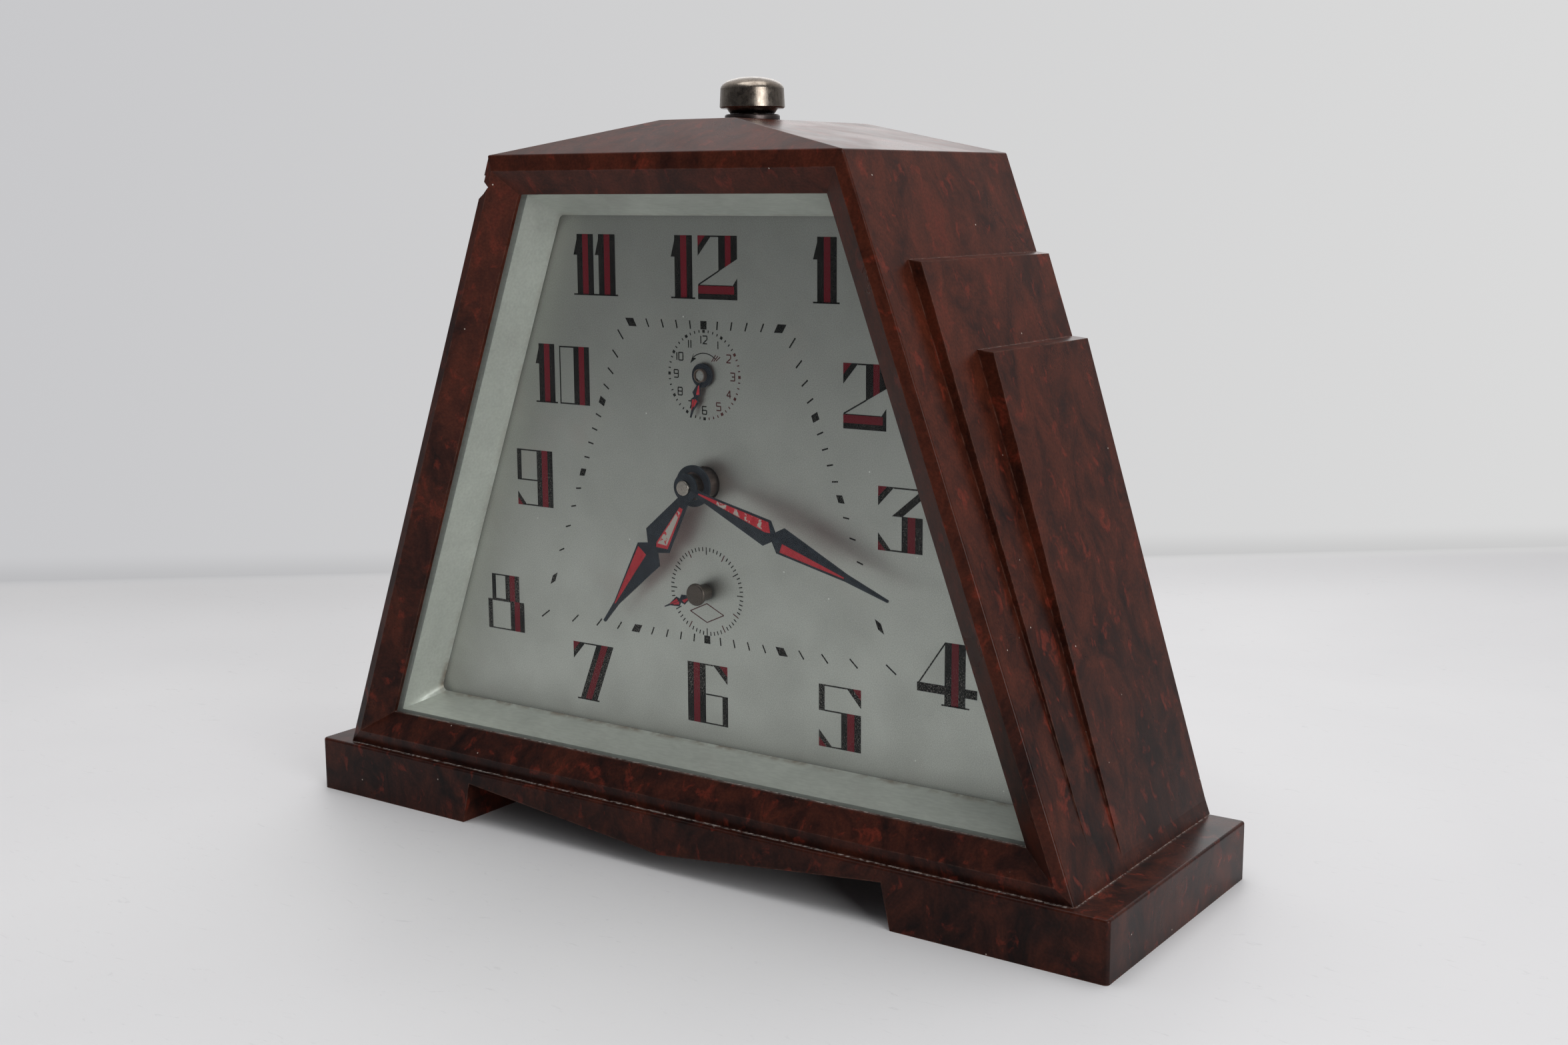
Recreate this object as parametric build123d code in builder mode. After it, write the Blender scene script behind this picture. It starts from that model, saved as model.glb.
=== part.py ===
from build123d import *
import os
from math import atan2, cos, degrees, hypot, pi, radians, sin

# Wind-up alarm clock in a moulded case. Sizes in mm, +Z up, the dial faces -Y.
# The origin is on the table, in the middle of the clock's whole depth, keys included.
# "Depth" below is measured backwards from the middle of the base.
MIDDLE_Y = -7.0

# Base
BASE_WIDTH = 180.0
BASE_DEPTH = 57.4
BASE_HEIGHT = 10.9
BACK = BASE_DEPTH / 2
FOOT_INNER_TOP = 47.9
FOOT_INNER_BOTTOM = 50.0
ARCH_SIDE_HEIGHT = 8.3
ARCH_MIDDLE_HEIGHT = 3.3

# Sloping body
BODY_FRONT = -26.9
BODY_BOTTOM_HALF = 83.1
BODY_TOP_HALF = 39.0
EAVES = 130.3
ROOF_TOP = 136.3
RIDGE_HALF = 8.35
RIDGE_FRONT = -14.4
WALL = 3.2
CAVITY_FRONT = -21.9
CAVITY_TOP = 127.0
ROOF_HOLLOW_BACK = 20.0

# Front frame: raised rim, then a bevel down to the window
RIM_DEPTH = -27.5
RIM_SIDE_INSET = 2.1
RIM_BOTTOM = 13.7
RIM_TOP = 127.4
WINDOW_DEPTH = -24.2
WINDOW_SIDE_INSET = 6.97
WINDOW_BOTTOM = 18.1
WINDOW_TOP = 123.15
GLASS_LEDGE = -23.4

# Stepped side panels: front face depth, corner height, outer half width, slope of the top
STEPS = ((-17.2, 112.0, 48.15), (-7.2, 96.75, 56.4))
STEP_TOP_RISE = 0.5
EDGE_ROUNDING = 0.45

# Old chip in the left front edge: set-in and drop below the eaves of each corner
CHIP = ((-1.0, 3.3), (0.7, 3.7), (0.7, 4.8), (2.3, 5.8), (1.4, 7.0), (0.35, 7.9), (-1.0, 9.6))
CHIP_DEPTH = 8.0

# Dial and the reflector round it
DIAL_FRONT = -13.2
DIAL_THICKNESS = 0.5
REFLECTOR_SIDE_INSET = 8.75
REFLECTOR_BOTTOM = 20.8
REFLECTOR_TOP = 119.25
SHEET = 0.6

# Stop knob on the roof
KNOB_Y = 2.5
CAP_RIM = ((0, 0), (5.8, 0), (6.05, 0.25), (5.87, 3.6))
CAP_DOME = ((5.87, 3.6), (5.5, 4.3), (4.5, 4.98), (2.9, 5.47), (1.4, 5.66), (0, 5.7))
KNOB_LIFT = 3.0
STEM_RADIUS = 2.5

# Movement plates, front to back
PLATE = 1.5
FRONT_PLATE = -8.6
BACK_PLATE = 12.0
COVER = 24.5
KEY_END = 42.7

# Arbor positions, (x, z) as seen from the front
CENTRE = (0.0, 70.5)
ALARM = (0.0, 90.5)
SECONDS = (0.0, 50.1)
THIRD = (8.26, 59.84)
ESCAPE = (-7.5, 45.13)
PALLET = (-13.2, 44.0)
BALANCE = (-22.5, 42.2)
MINUTE_STUD = (-8.84, 61.66)
TIME_SPRING = (-17.5, 70.5)
ALARM_SPRING = (24.0, 78.0)
ALARM_ESCAPE = (17.5, 90.4)
HAMMER = (11.5, 96.0)
STOP_LEVER = (14.0, 107.0)
BELL = (28.0, 108.5)
PILLARS = ((-33.0, 37.0), (33.0, 37.0), (-32.0, 100.0), (33.0, 96.0))
COVER_POSTS = ((-32.0, 50.0), (32.0, 50.0), (-24.0, 98.0), (33.5, 90.5))
# Back cover's screws: height, and distance in from the case's inner wall
COVER_SCREW_ROWS = ((BASE_HEIGHT + 4.1, 2.7), (CAVITY_TOP - 4.6, 3.48))

# Hands: clockwise angle from twelve, as seen from the front
MINUTE_ANGLE = 110.2
HOUR_ANGLE = 217.9
SECONDS_ANGLE = 247.4
ALARM_ANGLE = 197.7

RUNNING = 0.06
TOOTH_SHARE = 0.36

SLOPE = (BODY_BOTTOM_HALF - BODY_TOP_HALF) / (EAVES - BASE_HEIGHT)
SLANT = hypot(1.0, SLOPE)

os.makedirs("parts", exist_ok=True)


def facing(depth, x=0.0, z=0.0):
    """Plane that faces the front of the clock, with its own x and y along +X and +Z."""
    return Plane(origin=(x, MIDDLE_Y + depth, z), x_dir=(1, 0, 0), z_dir=(0, -1, 0))


def half_width(z, inset):
    """Half width of the sloping body at a height, set in square to its side."""
    return BODY_BOTTOM_HALF - SLOPE * (z - BASE_HEIGHT) - inset * SLANT


COVER_SCREWS = [
    (side * half_width(z, WALL + inset), z) for z, inset in COVER_SCREW_ROWS for side in (-1, 1)
]


def trapezoid(depth, inset, bottom, top, radius=0.0):
    """Face with the body's slope: set in at the sides, between two heights."""
    low = half_width(bottom, inset)
    high = half_width(top, inset)
    with BuildSketch(facing(depth)) as face:
        Polygon((-low, bottom), (low, bottom), (high, top), (-high, top), align=None)
        if radius > 0:
            fillet(face.vertices(), radius)
    return face.sketch


def outline(depth, points, x=0.0, z=0.0):
    """Face bounded by straight lines through the points."""
    with BuildSketch(facing(depth, x, z)) as face:
        Polygon(*points, align=None)
    return face.sketch


def slab(front, back, face_at, mode=Mode.ADD):
    """Extrude the face that face_at(depth) gives, from the back depth to the front depth."""
    extrude(face_at(back), amount=back - front, mode=mode)


def rod(place, front, back, radius, mode=Mode.ADD):
    """Cylinder along the clock's depth."""
    with BuildSketch(facing(back, *place)) as face:
        Circle(radius)
    extrude(face.sketch, amount=back - front, mode=mode)


def tooth_points(teeth, module, phase):
    """Corners of a wheel with straight-sided teeth; phase turns one tooth from +X, in degrees."""
    pitch_radius = teeth * module / 2
    root_radius = pitch_radius - 0.6 * module
    tip_radius = pitch_radius + 0.3 * module
    step = 360.0 / teeth
    root_half = step * (TOOTH_SHARE / 2 + 0.09)
    tip_half = step * (TOOTH_SHARE / 2 - 0.05)
    corners = []
    for index in range(teeth):
        middle = phase + index * step
        for radius, offset in (
            (root_radius, -root_half),
            (tip_radius, -tip_half),
            (tip_radius, tip_half),
            (root_radius, root_half),
        ):
            angle = radians(middle + offset)
            corners.append((radius * cos(angle), radius * sin(angle)))
    return corners


def gear(place, front, back, teeth, module, phase=0.0, hole=0.0, windows=0):
    """Toothed wheel or pinion, with a hole and round windows to lighten it."""
    pitch_radius = teeth * module / 2
    with BuildSketch(facing(back, *place)) as face:
        Polygon(*tooth_points(teeth, module, phase), align=None)
        if hole > 0:
            Circle(hole, mode=Mode.SUBTRACT)
        if windows > 0:
            with PolarLocations(0.56 * pitch_radius, windows):
                Circle(0.24 * pitch_radius, mode=Mode.SUBTRACT)
    extrude(face.sketch, amount=back - front)


def direction(start, end):
    """Angle of the line between two arbors, in degrees from +X towards +Z."""
    return degrees(atan2(end[1] - start[1], end[0] - start[0]))


def meshing_phase(driver, driver_teeth, driver_phase, driven, driven_teeth):
    """Phase that puts a gap of the driven wheel on the driver's tooth at the line of centres."""
    along = direction(driver, driven)
    driver_step = 360.0 / driver_teeth
    driven_step = 360.0 / driven_teeth
    share = ((driver_phase - along) / driver_step) % 1.0
    return along + 180.0 - (share - 0.5) * driven_step


def spiral_points(inner, outer, turns, thickness):
    """Corners of a flat coiled strip."""
    steps = int(turns * 28)
    inside = []
    outside = []
    for index in range(steps + 1):
        angle = 2 * pi * turns * index / steps
        radius = inner + (outer - inner) * index / steps
        inside.append(((radius - thickness / 2) * cos(angle), (radius - thickness / 2) * sin(angle)))
        outside.append(((radius + thickness / 2) * cos(angle), (radius + thickness / 2) * sin(angle)))
    return inside + outside[::-1]


def clock_direction(angle):
    """Unit vector on the dial, for an angle clockwise from twelve."""
    return sin(radians(angle)), cos(radians(angle))


def blade(place, front, back, angle, half_widths, edge_share=0.35):
    """Hand: a spear with a ridge down its middle. half_widths lists (distance, half width)."""
    ahead = clock_direction(angle)
    across = (ahead[1], -ahead[0])
    left = [(r * ahead[0] - w * across[0], r * ahead[1] - w * across[1]) for r, w in half_widths]
    right = [(r * ahead[0] + w * across[0], r * ahead[1] + w * across[1]) for r, w in half_widths]
    thickness = back - front
    wide = max(w for r, w in half_widths) + 0.2
    length = half_widths[-1][0]
    section = Plane(
        origin=(place[0], MIDDLE_Y + back, place[1]),
        x_dir=(across[0], 0, across[1]),
        z_dir=(ahead[0], 0, ahead[1]),
    )
    rise = thickness if section.y_dir.Y < 0 else -thickness
    with BuildPart() as spear:
        extrude(outline(back, left + right[::-1], *place), amount=thickness)
        with BuildSketch(section):
            Polygon(
                (-wide, 0),
                (-wide, edge_share * rise),
                (0, rise),
                (wide, edge_share * rise),
                (wide, 0),
                align=None,
            )
        extrude(amount=length + 1, both=True, mode=Mode.INTERSECT)
    return spear.part


def save(part, label):
    part.label = label
    export_step(part, f"parts/{label}.step")


# ---------------------------------------------------------------- case

with BuildPart() as body_block:
    slab(BODY_FRONT, BACK, lambda depth: trapezoid(depth, 0, BASE_HEIGHT, EAVES))
    with BuildSketch(facing(BODY_FRONT)):
        add(trapezoid(BODY_FRONT, 0, BASE_HEIGHT, EAVES))
    with BuildSketch(facing(RIM_DEPTH)):
        add(trapezoid(RIM_DEPTH, RIM_SIDE_INSET, RIM_BOTTOM, RIM_TOP))
    loft(ruled=True)
    with BuildSketch(Plane((0, MIDDLE_Y + (BODY_FRONT + BACK) / 2, EAVES))):
        Rectangle(2 * BODY_TOP_HALF, BACK - BODY_FRONT)
    with BuildSketch(Plane((0, MIDDLE_Y + (RIDGE_FRONT + BACK) / 2, ROOF_TOP))):
        Rectangle(2 * RIDGE_HALF, BACK - RIDGE_FRONT)
    loft(ruled=True)
    rounded = body_block.edges().filter_by(
        lambda edge: edge.length > 10
        and edge.center().Y < MIDDLE_Y + BACK - 1
        and edge.center().Z > BASE_HEIGHT + 1
    )
    fillet(rounded, EDGE_ROUNDING)

step_panels = []
for step_front, corner_height, corner_half in STEPS:
    inner_half = half_width(corner_height, 0) - 5
    for side in (-1, 1):
        with BuildPart() as step_panel:
            corners = (
                (side * BODY_BOTTOM_HALF, BASE_HEIGHT - 0.5),
                (side * corner_half, corner_height),
                (side * inner_half, corner_height + STEP_TOP_RISE * 2),
                (side * (BODY_BOTTOM_HALF - 8), BASE_HEIGHT - 0.5),
            )
            extrude(outline(BACK, corners), amount=BACK - step_front)
            outer_face = step_panel.faces().sort_by(Axis.X)[-1 if side > 0 else 0]
            front_edge = outer_face.edges().sort_by(Axis.Y)[0]
            top_edge = outer_face.edges().sort_by(Axis.Z)[-1]
            fillet([front_edge, top_edge], EDGE_ROUNDING)
        step_panels.append(step_panel.part)

with BuildPart() as case:
    with BuildSketch(Plane((0, MIDDLE_Y, 0))):
        Rectangle(BASE_WIDTH, BASE_DEPTH)
    extrude(amount=BASE_HEIGHT)
    fillet(case.edges().filter_by(Axis.Z), 0.8)
    fillet(case.faces().sort_by(Axis.Z)[-1].edges(), 0.5)

    add(body_block.part)
    add(step_panels)

    # Window: bevel, then the opening, then a ledge for the glass
    with BuildSketch(facing(WINDOW_DEPTH)):
        add(trapezoid(WINDOW_DEPTH, WINDOW_SIDE_INSET, WINDOW_BOTTOM, WINDOW_TOP))
    with BuildSketch(facing(RIM_DEPTH)):
        add(trapezoid(RIM_DEPTH, RIM_SIDE_INSET, RIM_BOTTOM, RIM_TOP))
    loft(ruled=True, mode=Mode.SUBTRACT)
    slab(
        WINDOW_DEPTH,
        CAVITY_FRONT,
        lambda depth: trapezoid(depth, WINDOW_SIDE_INSET, WINDOW_BOTTOM, WINDOW_TOP),
        mode=Mode.SUBTRACT,
    )
    slab(
        GLASS_LEDGE,
        CAVITY_FRONT,
        lambda depth: trapezoid(depth, WINDOW_SIDE_INSET - 2.1, WINDOW_BOTTOM - 2.1, WINDOW_TOP + 2.1),
        mode=Mode.SUBTRACT,
    )

    # Hollow, open at the back, that follows the body and the roof
    slab(
        CAVITY_FRONT,
        BACK,
        lambda depth: trapezoid(depth, WALL, BASE_HEIGHT, CAVITY_TOP),
        mode=Mode.SUBTRACT,
    )
    hollow_half = half_width(CAVITY_TOP, WALL)
    with BuildSketch(Plane((0, MIDDLE_Y + (CAVITY_FRONT + ROOF_HOLLOW_BACK) / 2, CAVITY_TOP - 0.01))):
        Rectangle(2 * hollow_half, ROOF_HOLLOW_BACK - CAVITY_FRONT)
    with BuildSketch(Plane((0, MIDDLE_Y + (RIDGE_FRONT + ROOF_HOLLOW_BACK) / 2, ROOF_TOP - WALL))):
        Rectangle(2 * RIDGE_HALF - 2, ROOF_HOLLOW_BACK - RIDGE_FRONT)
    loft(ruled=True, mode=Mode.SUBTRACT)

    # Bosses that take the back cover's screws
    for place in COVER_SCREWS:
        rod(place, 14.0, COVER - 0.05, 5.0)
        rod(place, 13.0, COVER, 1.45, mode=Mode.SUBTRACT)

    # Bore for the stop knob's collar
    with BuildSketch(Plane((0, MIDDLE_Y + KNOB_Y, ROOF_TOP + 1))):
        Circle(4.05)
    extrude(amount=-10, mode=Mode.SUBTRACT)

    # The chip fades out towards the back
    for depth, spread in ((RIM_DEPTH - 1, 0.4), (RIM_DEPTH + CHIP_DEPTH, -2.4)):
        with BuildSketch(facing(depth)):
            corners = [(spread + inset - half_width(EAVES - drop, 0), EAVES - drop) for inset, drop in CHIP]
            Polygon(*corners, align=None)
    loft(ruled=True, mode=Mode.SUBTRACT)

    # Arch between the feet
    arch = outline(
        BACK + 1,
        (
            (-FOOT_INNER_BOTTOM, -1),
            (-FOOT_INNER_TOP, ARCH_SIDE_HEIGHT),
            (0, ARCH_MIDDLE_HEIGHT),
            (FOOT_INNER_TOP, ARCH_SIDE_HEIGHT),
            (FOOT_INNER_BOTTOM, -1),
        ),
    )
    extrude(arch, amount=BASE_DEPTH + 2, mode=Mode.SUBTRACT)
save(case.part, "case")

# ---------------------------------------------------------------- window

with BuildPart() as glass:
    slab(
        GLASS_LEDGE + 0.05,
        CAVITY_FRONT - 0.05,
        lambda depth: trapezoid(depth, WINDOW_SIDE_INSET - 1.9, WINDOW_BOTTOM - 1.9, WINDOW_TOP + 1.9),
    )
save(glass.part, "glass")

reflector_back = DIAL_FRONT - 0.05
with BuildPart() as reflector:
    slab(
        CAVITY_FRONT,
        CAVITY_FRONT + SHEET,
        lambda depth: trapezoid(depth, WINDOW_SIDE_INSET - 1.9, WINDOW_BOTTOM - 1.9, WINDOW_TOP + 1.9),
    )
    for grow, mode in ((SHEET, Mode.ADD), (0.0, Mode.SUBTRACT)):
        with BuildSketch(facing(CAVITY_FRONT)):
            add(
                trapezoid(
                    CAVITY_FRONT,
                    WINDOW_SIDE_INSET + 0.1 - grow,
                    WINDOW_BOTTOM + 0.1 - grow,
                    WINDOW_TOP - 0.1 + grow,
                )
            )
        with BuildSketch(facing(reflector_back)):
            add(
                trapezoid(
                    reflector_back,
                    REFLECTOR_SIDE_INSET - grow,
                    REFLECTOR_BOTTOM - grow,
                    REFLECTOR_TOP + grow,
                    radius=1.2 + grow,
                )
            )
        loft(mode=mode)
save(reflector.part, "reflector")

with BuildPart() as dial:
    slab(
        DIAL_FRONT,
        DIAL_FRONT + DIAL_THICKNESS,
        lambda depth: trapezoid(depth, 6.0, REFLECTOR_BOTTOM - 2.5, REFLECTOR_TOP + 3.0),
    )
    rod(CENTRE, DIAL_FRONT - 1, -12, 3.25, mode=Mode.SUBTRACT)
    rod(ALARM, DIAL_FRONT - 1, -12, 1.4, mode=Mode.SUBTRACT)
    rod(SECONDS, DIAL_FRONT - 1, -12, 1.0, mode=Mode.SUBTRACT)
save(dial.part, "dial")

# ---------------------------------------------------------------- hands and their arbors

MINUTE_SHAPE = ((0, 0.7), (4.5, 0.75), (19.2, 2.5), (20.8, 0.9), (22.3, 2.5), (37.2, 0.65), (46.2, 0.2))
HOUR_SHAPE = ((0, 1.0), (4.0, 1.25), (14.0, 3.4), (15.8, 1.4), (17.6, 3.25), (30.6, 0.5), (35.5, 0.25))
SMALL_SHAPE = ((0, 0.3), (1.9, 0.3), (3.6, 0.98), (4.2, 0.3), (4.95, 0.95), (6.8, 0.2), (8.2, 0.1))

with BuildPart() as minute_hand:
    rod(CENTRE, -19.35, -18.95, 2.6)
    add(blade(CENTRE, -19.45, -19.0, MINUTE_ANGLE, MINUTE_SHAPE))
    rod(CENTRE, -22, -16, 1.12, mode=Mode.SUBTRACT)
save(minute_hand.part, "minute_hand")

with BuildPart() as hand_nut:
    with BuildSketch(facing(-19.5, *CENTRE)):
        Circle(1.4)
    extrude(amount=0.75)
    fillet(hand_nut.faces().sort_by(Axis.Y)[0].edges(), 0.2)
save(hand_nut.part, "hand_nut")

with BuildPart() as centre_arbor:
    rod(CENTRE, -19.5, 29.5, 1.1)
save(centre_arbor.part, "centre_arbor")

CANNON_MODULE = 25.0 / 48
stud_direction = direction(CENTRE, MINUTE_STUD)
with BuildPart() as cannon_pinion:
    rod(CENTRE, -18.9, -9.0, 1.9)
    rod(CENTRE, -18.9, -17.2, 2.3)
    gear(CENTRE, -10.5, -9.0, 12, CANNON_MODULE, stud_direction)
    rod(CENTRE, -20, -8, 1.12, mode=Mode.SUBTRACT)
save(cannon_pinion.part, "cannon_pinion")

with BuildPart() as minute_wheel:
    gear(MINUTE_STUD, -10.3, -9.5, 36, CANNON_MODULE, stud_direction + 185.0, windows=4)
    gear(MINUTE_STUD, -12.1, -10.3, 10, 0.5, stud_direction + 180.0)
    rod(MINUTE_STUD, -12.1, -9.5, 1.4)
    rod(MINUTE_STUD, -13, -9, 0.8 + RUNNING, mode=Mode.SUBTRACT)
save(minute_wheel.part, "minute_wheel")

hour_phase = meshing_phase(MINUTE_STUD, 10, stud_direction + 180.0, CENTRE, 40)
with BuildPart() as hour_wheel:
    gear(CENTRE, -11.9, -10.9, 40, 0.5, hour_phase, windows=5)
    rod(CENTRE, -16.6, -10.9, 2.9)
    rod(CENTRE, -17, -10, 1.9 + RUNNING, mode=Mode.SUBTRACT)
save(hour_wheel.part, "hour_wheel")

with BuildPart() as hour_hand:
    rod(CENTRE, -17.1, -16.62, 3.85)
    add(blade(CENTRE, -17.15, -16.65, HOUR_ANGLE, HOUR_SHAPE))
    rod(CENTRE, -18, -16, 2.62, mode=Mode.SUBTRACT)
save(hour_hand.part, "hour_hand")

alarm_phase = meshing_phase(CENTRE, 40, hour_phase, ALARM, 40)
with BuildPart() as alarm_wheel:
    gear(ALARM, -11.9, -10.9, 40, 0.5, alarm_phase, windows=5)
    rod(ALARM, -12.3, -9.3, 2.0)
    rod(ALARM, -13, -9, 1.0 + RUNNING, mode=Mode.SUBTRACT)
save(alarm_wheel.part, "alarm_wheel")

with BuildPart() as alarm_arbor:
    rod(ALARM, -14.5, 29.5, 1.0)
    rod(ALARM, 9.0, 11.4, 3.0)
save(alarm_arbor.part, "alarm_arbor")

with BuildPart() as alarm_hand:
    rod(ALARM, -14.0, -13.5, 2.2)
    add(blade(ALARM, -14.3, -14.0, ALARM_ANGLE, SMALL_SHAPE))
    rod(ALARM, -14.75, -14.0, 1.25)
    rod(ALARM, -15, -13, 1.03, mode=Mode.SUBTRACT)
save(alarm_hand.part, "alarm_hand")

# ---------------------------------------------------------------- plates

PLATE_OUTLINE = ((-36, 34), (36, 34), (36, 112), (-6, 112), (-6, 104), (-36, 104))
FRONT_HOLES = (
    (CENTRE, 1.7),
    (ALARM, 1.1),
    (SECONDS, 0.66),
    (THIRD, 0.46),
    (ESCAPE, 0.46),
    (PALLET, 0.46),
    (BALANCE, 0.46),
    (TIME_SPRING, 1.06),
    (ALARM_SPRING, 1.06),
    (ALARM_ESCAPE, 0.46),
    (HAMMER, 0.46),
    (STOP_LEVER, 0.56),
)
BACK_HOLES = (
    (CENTRE, 1.7),
    (ALARM, 1.06),
    (SECONDS, 0.46),
    (THIRD, 0.46),
    (ESCAPE, 0.46),
    (PALLET, 0.46),
    (BALANCE, 0.46),
    (TIME_SPRING, 1.66),
    (ALARM_SPRING, 1.66),
    (ALARM_ESCAPE, 0.46),
    (HAMMER, 0.86),
    (STOP_LEVER, 0.56),
)

for name, plate_front, holes in (
    ("front_plate", FRONT_PLATE, FRONT_HOLES),
    ("back_plate", BACK_PLATE, BACK_HOLES),
):
    with BuildPart() as plate:
        extrude(outline(plate_front + PLATE, PLATE_OUTLINE), amount=PLATE)
        for place, radius in holes:
            rod(place, plate_front - 1, plate_front + PLATE + 1, radius, mode=Mode.SUBTRACT)
        for place in PILLARS:
            rod(place, plate_front - 1, plate_front + PLATE + 1, 1.25, mode=Mode.SUBTRACT)
    save(plate.part, name)

with BuildPart() as motion_stud:
    rod(MINUTE_STUD, -12.3, FRONT_PLATE - 0.02, 0.8)
    rod(MINUTE_STUD, -9.2, FRONT_PLATE - 0.02, 1.6)
save(motion_stud.part, "motion_stud")

with BuildPart() as plate_pillars:
    for place in PILLARS:
        rod(place, FRONT_PLATE + PLATE + 0.02, BACK_PLATE - 0.02, 2.2)
        rod(place, FRONT_PLATE - 0.6, BACK_PLATE + PLATE + 1.6, 1.2)
save(plate_pillars.part, "plate_pillars")

with BuildPart() as pillar_nuts:
    for place in PILLARS:
        with BuildSketch(facing(BACK_PLATE + PLATE + 1.4, *place)):
            RegularPolygon(2.4, 6)
            Circle(1.25, mode=Mode.SUBTRACT)
        extrude(amount=1.38)
save(pillar_nuts.part, "pillar_nuts")

with BuildPart() as cover_posts:
    for place in COVER_POSTS:
        rod(place, BACK_PLATE + PLATE + 0.02, COVER - 0.02, 2.3)
save(cover_posts.part, "cover_posts")

# ---------------------------------------------------------------- going train

PIVOT_ENDS = (FRONT_PLATE + 0.1, BACK_PLATE + PLATE - 0.1)
SHOULDER = FRONT_PLATE + PLATE + 0.2


def pivoted_arbor(place, radius):
    """Arbor that runs between the plates on thin pivots."""
    rod(place, SHOULDER, BACK_PLATE - 0.2, radius)
    rod(place, *PIVOT_ENDS, 0.4)


great_phase = direction(TIME_SPRING, CENTRE)
with BuildPart() as time_great_wheel:
    gear(TIME_SPRING, -6.5, -5.3, 60, 0.5, great_phase, hole=1.6 + RUNNING, windows=5)
save(time_great_wheel.part, "time_great_wheel")

centre_pinion_phase = meshing_phase(TIME_SPRING, 60, great_phase, CENTRE, 10)
centre_wheel_phase = direction(CENTRE, THIRD)
with BuildPart() as centre_wheel:
    gear(CENTRE, SHOULDER, -4.9, 10, 0.5, centre_pinion_phase)
    rod(CENTRE, SHOULDER, 10.6, 1.65)
    gear(CENTRE, 8.0, 9.0, 80, 0.3, centre_wheel_phase, windows=5)
    rod(CENTRE, -7.5, 11.5, 1.1 + RUNNING, mode=Mode.SUBTRACT)
save(centre_wheel.part, "centre_wheel")

third_pinion_phase = meshing_phase(CENTRE, 80, centre_wheel_phase, THIRD, 10)
third_wheel_phase = direction(THIRD, SECONDS)
with BuildPart() as third_wheel:
    pivoted_arbor(THIRD, 0.7)
    gear(THIRD, 7.5, 9.5, 10, 0.3, third_pinion_phase)
    gear(THIRD, -3.0, -2.2, 75, 0.3, third_wheel_phase, windows=5)
save(third_wheel.part, "third_wheel")

fourth_pinion_phase = meshing_phase(THIRD, 75, third_wheel_phase, SECONDS, 10)
fourth_wheel_phase = direction(SECONDS, ESCAPE)
with BuildPart() as fourth_wheel:
    pivoted_arbor(SECONDS, 0.7)
    rod(SECONDS, -16.0, -6.0, 0.6)
    gear(SECONDS, -3.5, -1.7, 10, 0.3, fourth_pinion_phase)
    gear(SECONDS, 3.0, 3.8, 64, 0.25, fourth_wheel_phase, windows=4)
save(fourth_wheel.part, "fourth_wheel")

with BuildPart() as seconds_hand:
    rod(SECONDS, -16.3, -13.5, 1.55)
    add(blade(SECONDS, -16.35, -16.05, SECONDS_ANGLE, SMALL_SHAPE))
    with BuildSketch(facing(-16.3, *SECONDS)):
        Circle(2.1)
    extrude(amount=0.6)
    fillet(seconds_hand.faces().sort_by(Axis.Y)[0].edges(), 0.35)
    rod(SECONDS, -16.1, -13, 0.62, mode=Mode.SUBTRACT)
save(seconds_hand.part, "seconds_hand")

escape_pinion_phase = meshing_phase(SECONDS, 64, fourth_wheel_phase, ESCAPE, 8)
ESCAPE_TEETH = 15
ESCAPE_RADIUS = 4.4
with BuildPart() as escape_wheel:
    pivoted_arbor(ESCAPE, 0.55)
    gear(ESCAPE, 2.4, 4.4, 8, 0.25, escape_pinion_phase)
    saw = []
    for index in range(ESCAPE_TEETH):
        for radius, offset in ((3.5, 0.0), (ESCAPE_RADIUS, 5.0), (ESCAPE_RADIUS, 7.5), (3.5, 9.5)):
            angle = radians(index * 360 / ESCAPE_TEETH + offset)
            saw.append((radius * cos(angle), radius * sin(angle)))
    with BuildSketch(facing(-0.9, *ESCAPE)):
        Polygon(*saw, align=None)
        with PolarLocations(2.1, 4):
            Circle(0.75, mode=Mode.SUBTRACT)
    extrude(amount=0.6)
save(escape_wheel.part, "escape_wheel")

# The fork clears the teeth by a little at both ends of its swing
fork_ahead = direction(PALLET, BALANCE)
with BuildPart() as pallet_fork:
    pivoted_arbor(PALLET, 0.5)
    with BuildSketch(Plane(facing(-0.8, *PALLET).location * Location((0, 0, 0), (0, 0, fork_ahead)))):
        Circle(1.0)
        Polygon((-0.6, -0.4), (7.4, -0.4), (7.4, 0.4), (-0.6, 0.4), align=None)
        Polygon((0.2, -3.4), (1.0, -3.4), (1.0, 3.4), (0.2, 3.4), align=None)
    extrude(amount=0.8)
save(pallet_fork.part, "pallet_fork")

with BuildPart() as balance_wheel:
    pivoted_arbor(BALANCE, 0.6)
    rod(BALANCE, -1.6, -0.8, 1.4)
    with BuildSketch(facing(5.0, *BALANCE)):
        Circle(9.0)
        Circle(7.7, mode=Mode.SUBTRACT)
        Rectangle(16.5, 1.4)
        Circle(1.6)
    extrude(amount=1.4)
save(balance_wheel.part, "balance_wheel")

with BuildPart() as hairspring:
    extrude(outline(7.4, spiral_points(1.2, 5.0, 6, 0.2), *BALANCE), amount=0.7)
save(hairspring.part, "hairspring")

with BuildPart() as regulator:
    with BuildSketch(facing(15.0, *BALANCE)):
        Circle(3.4)
        Polygon((-1.0, 0), (1.0, 0), (1.0, -6.5), (-1.0, -6.5), align=None)
        Circle(1.4, mode=Mode.SUBTRACT)
    extrude(amount=1.0)
    rod((BALANCE[0], BALANCE[1] - 6.0), 14.0, COVER + 3.0, 0.8)
save(regulator.part, "regulator")

# ---------------------------------------------------------------- winding


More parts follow.
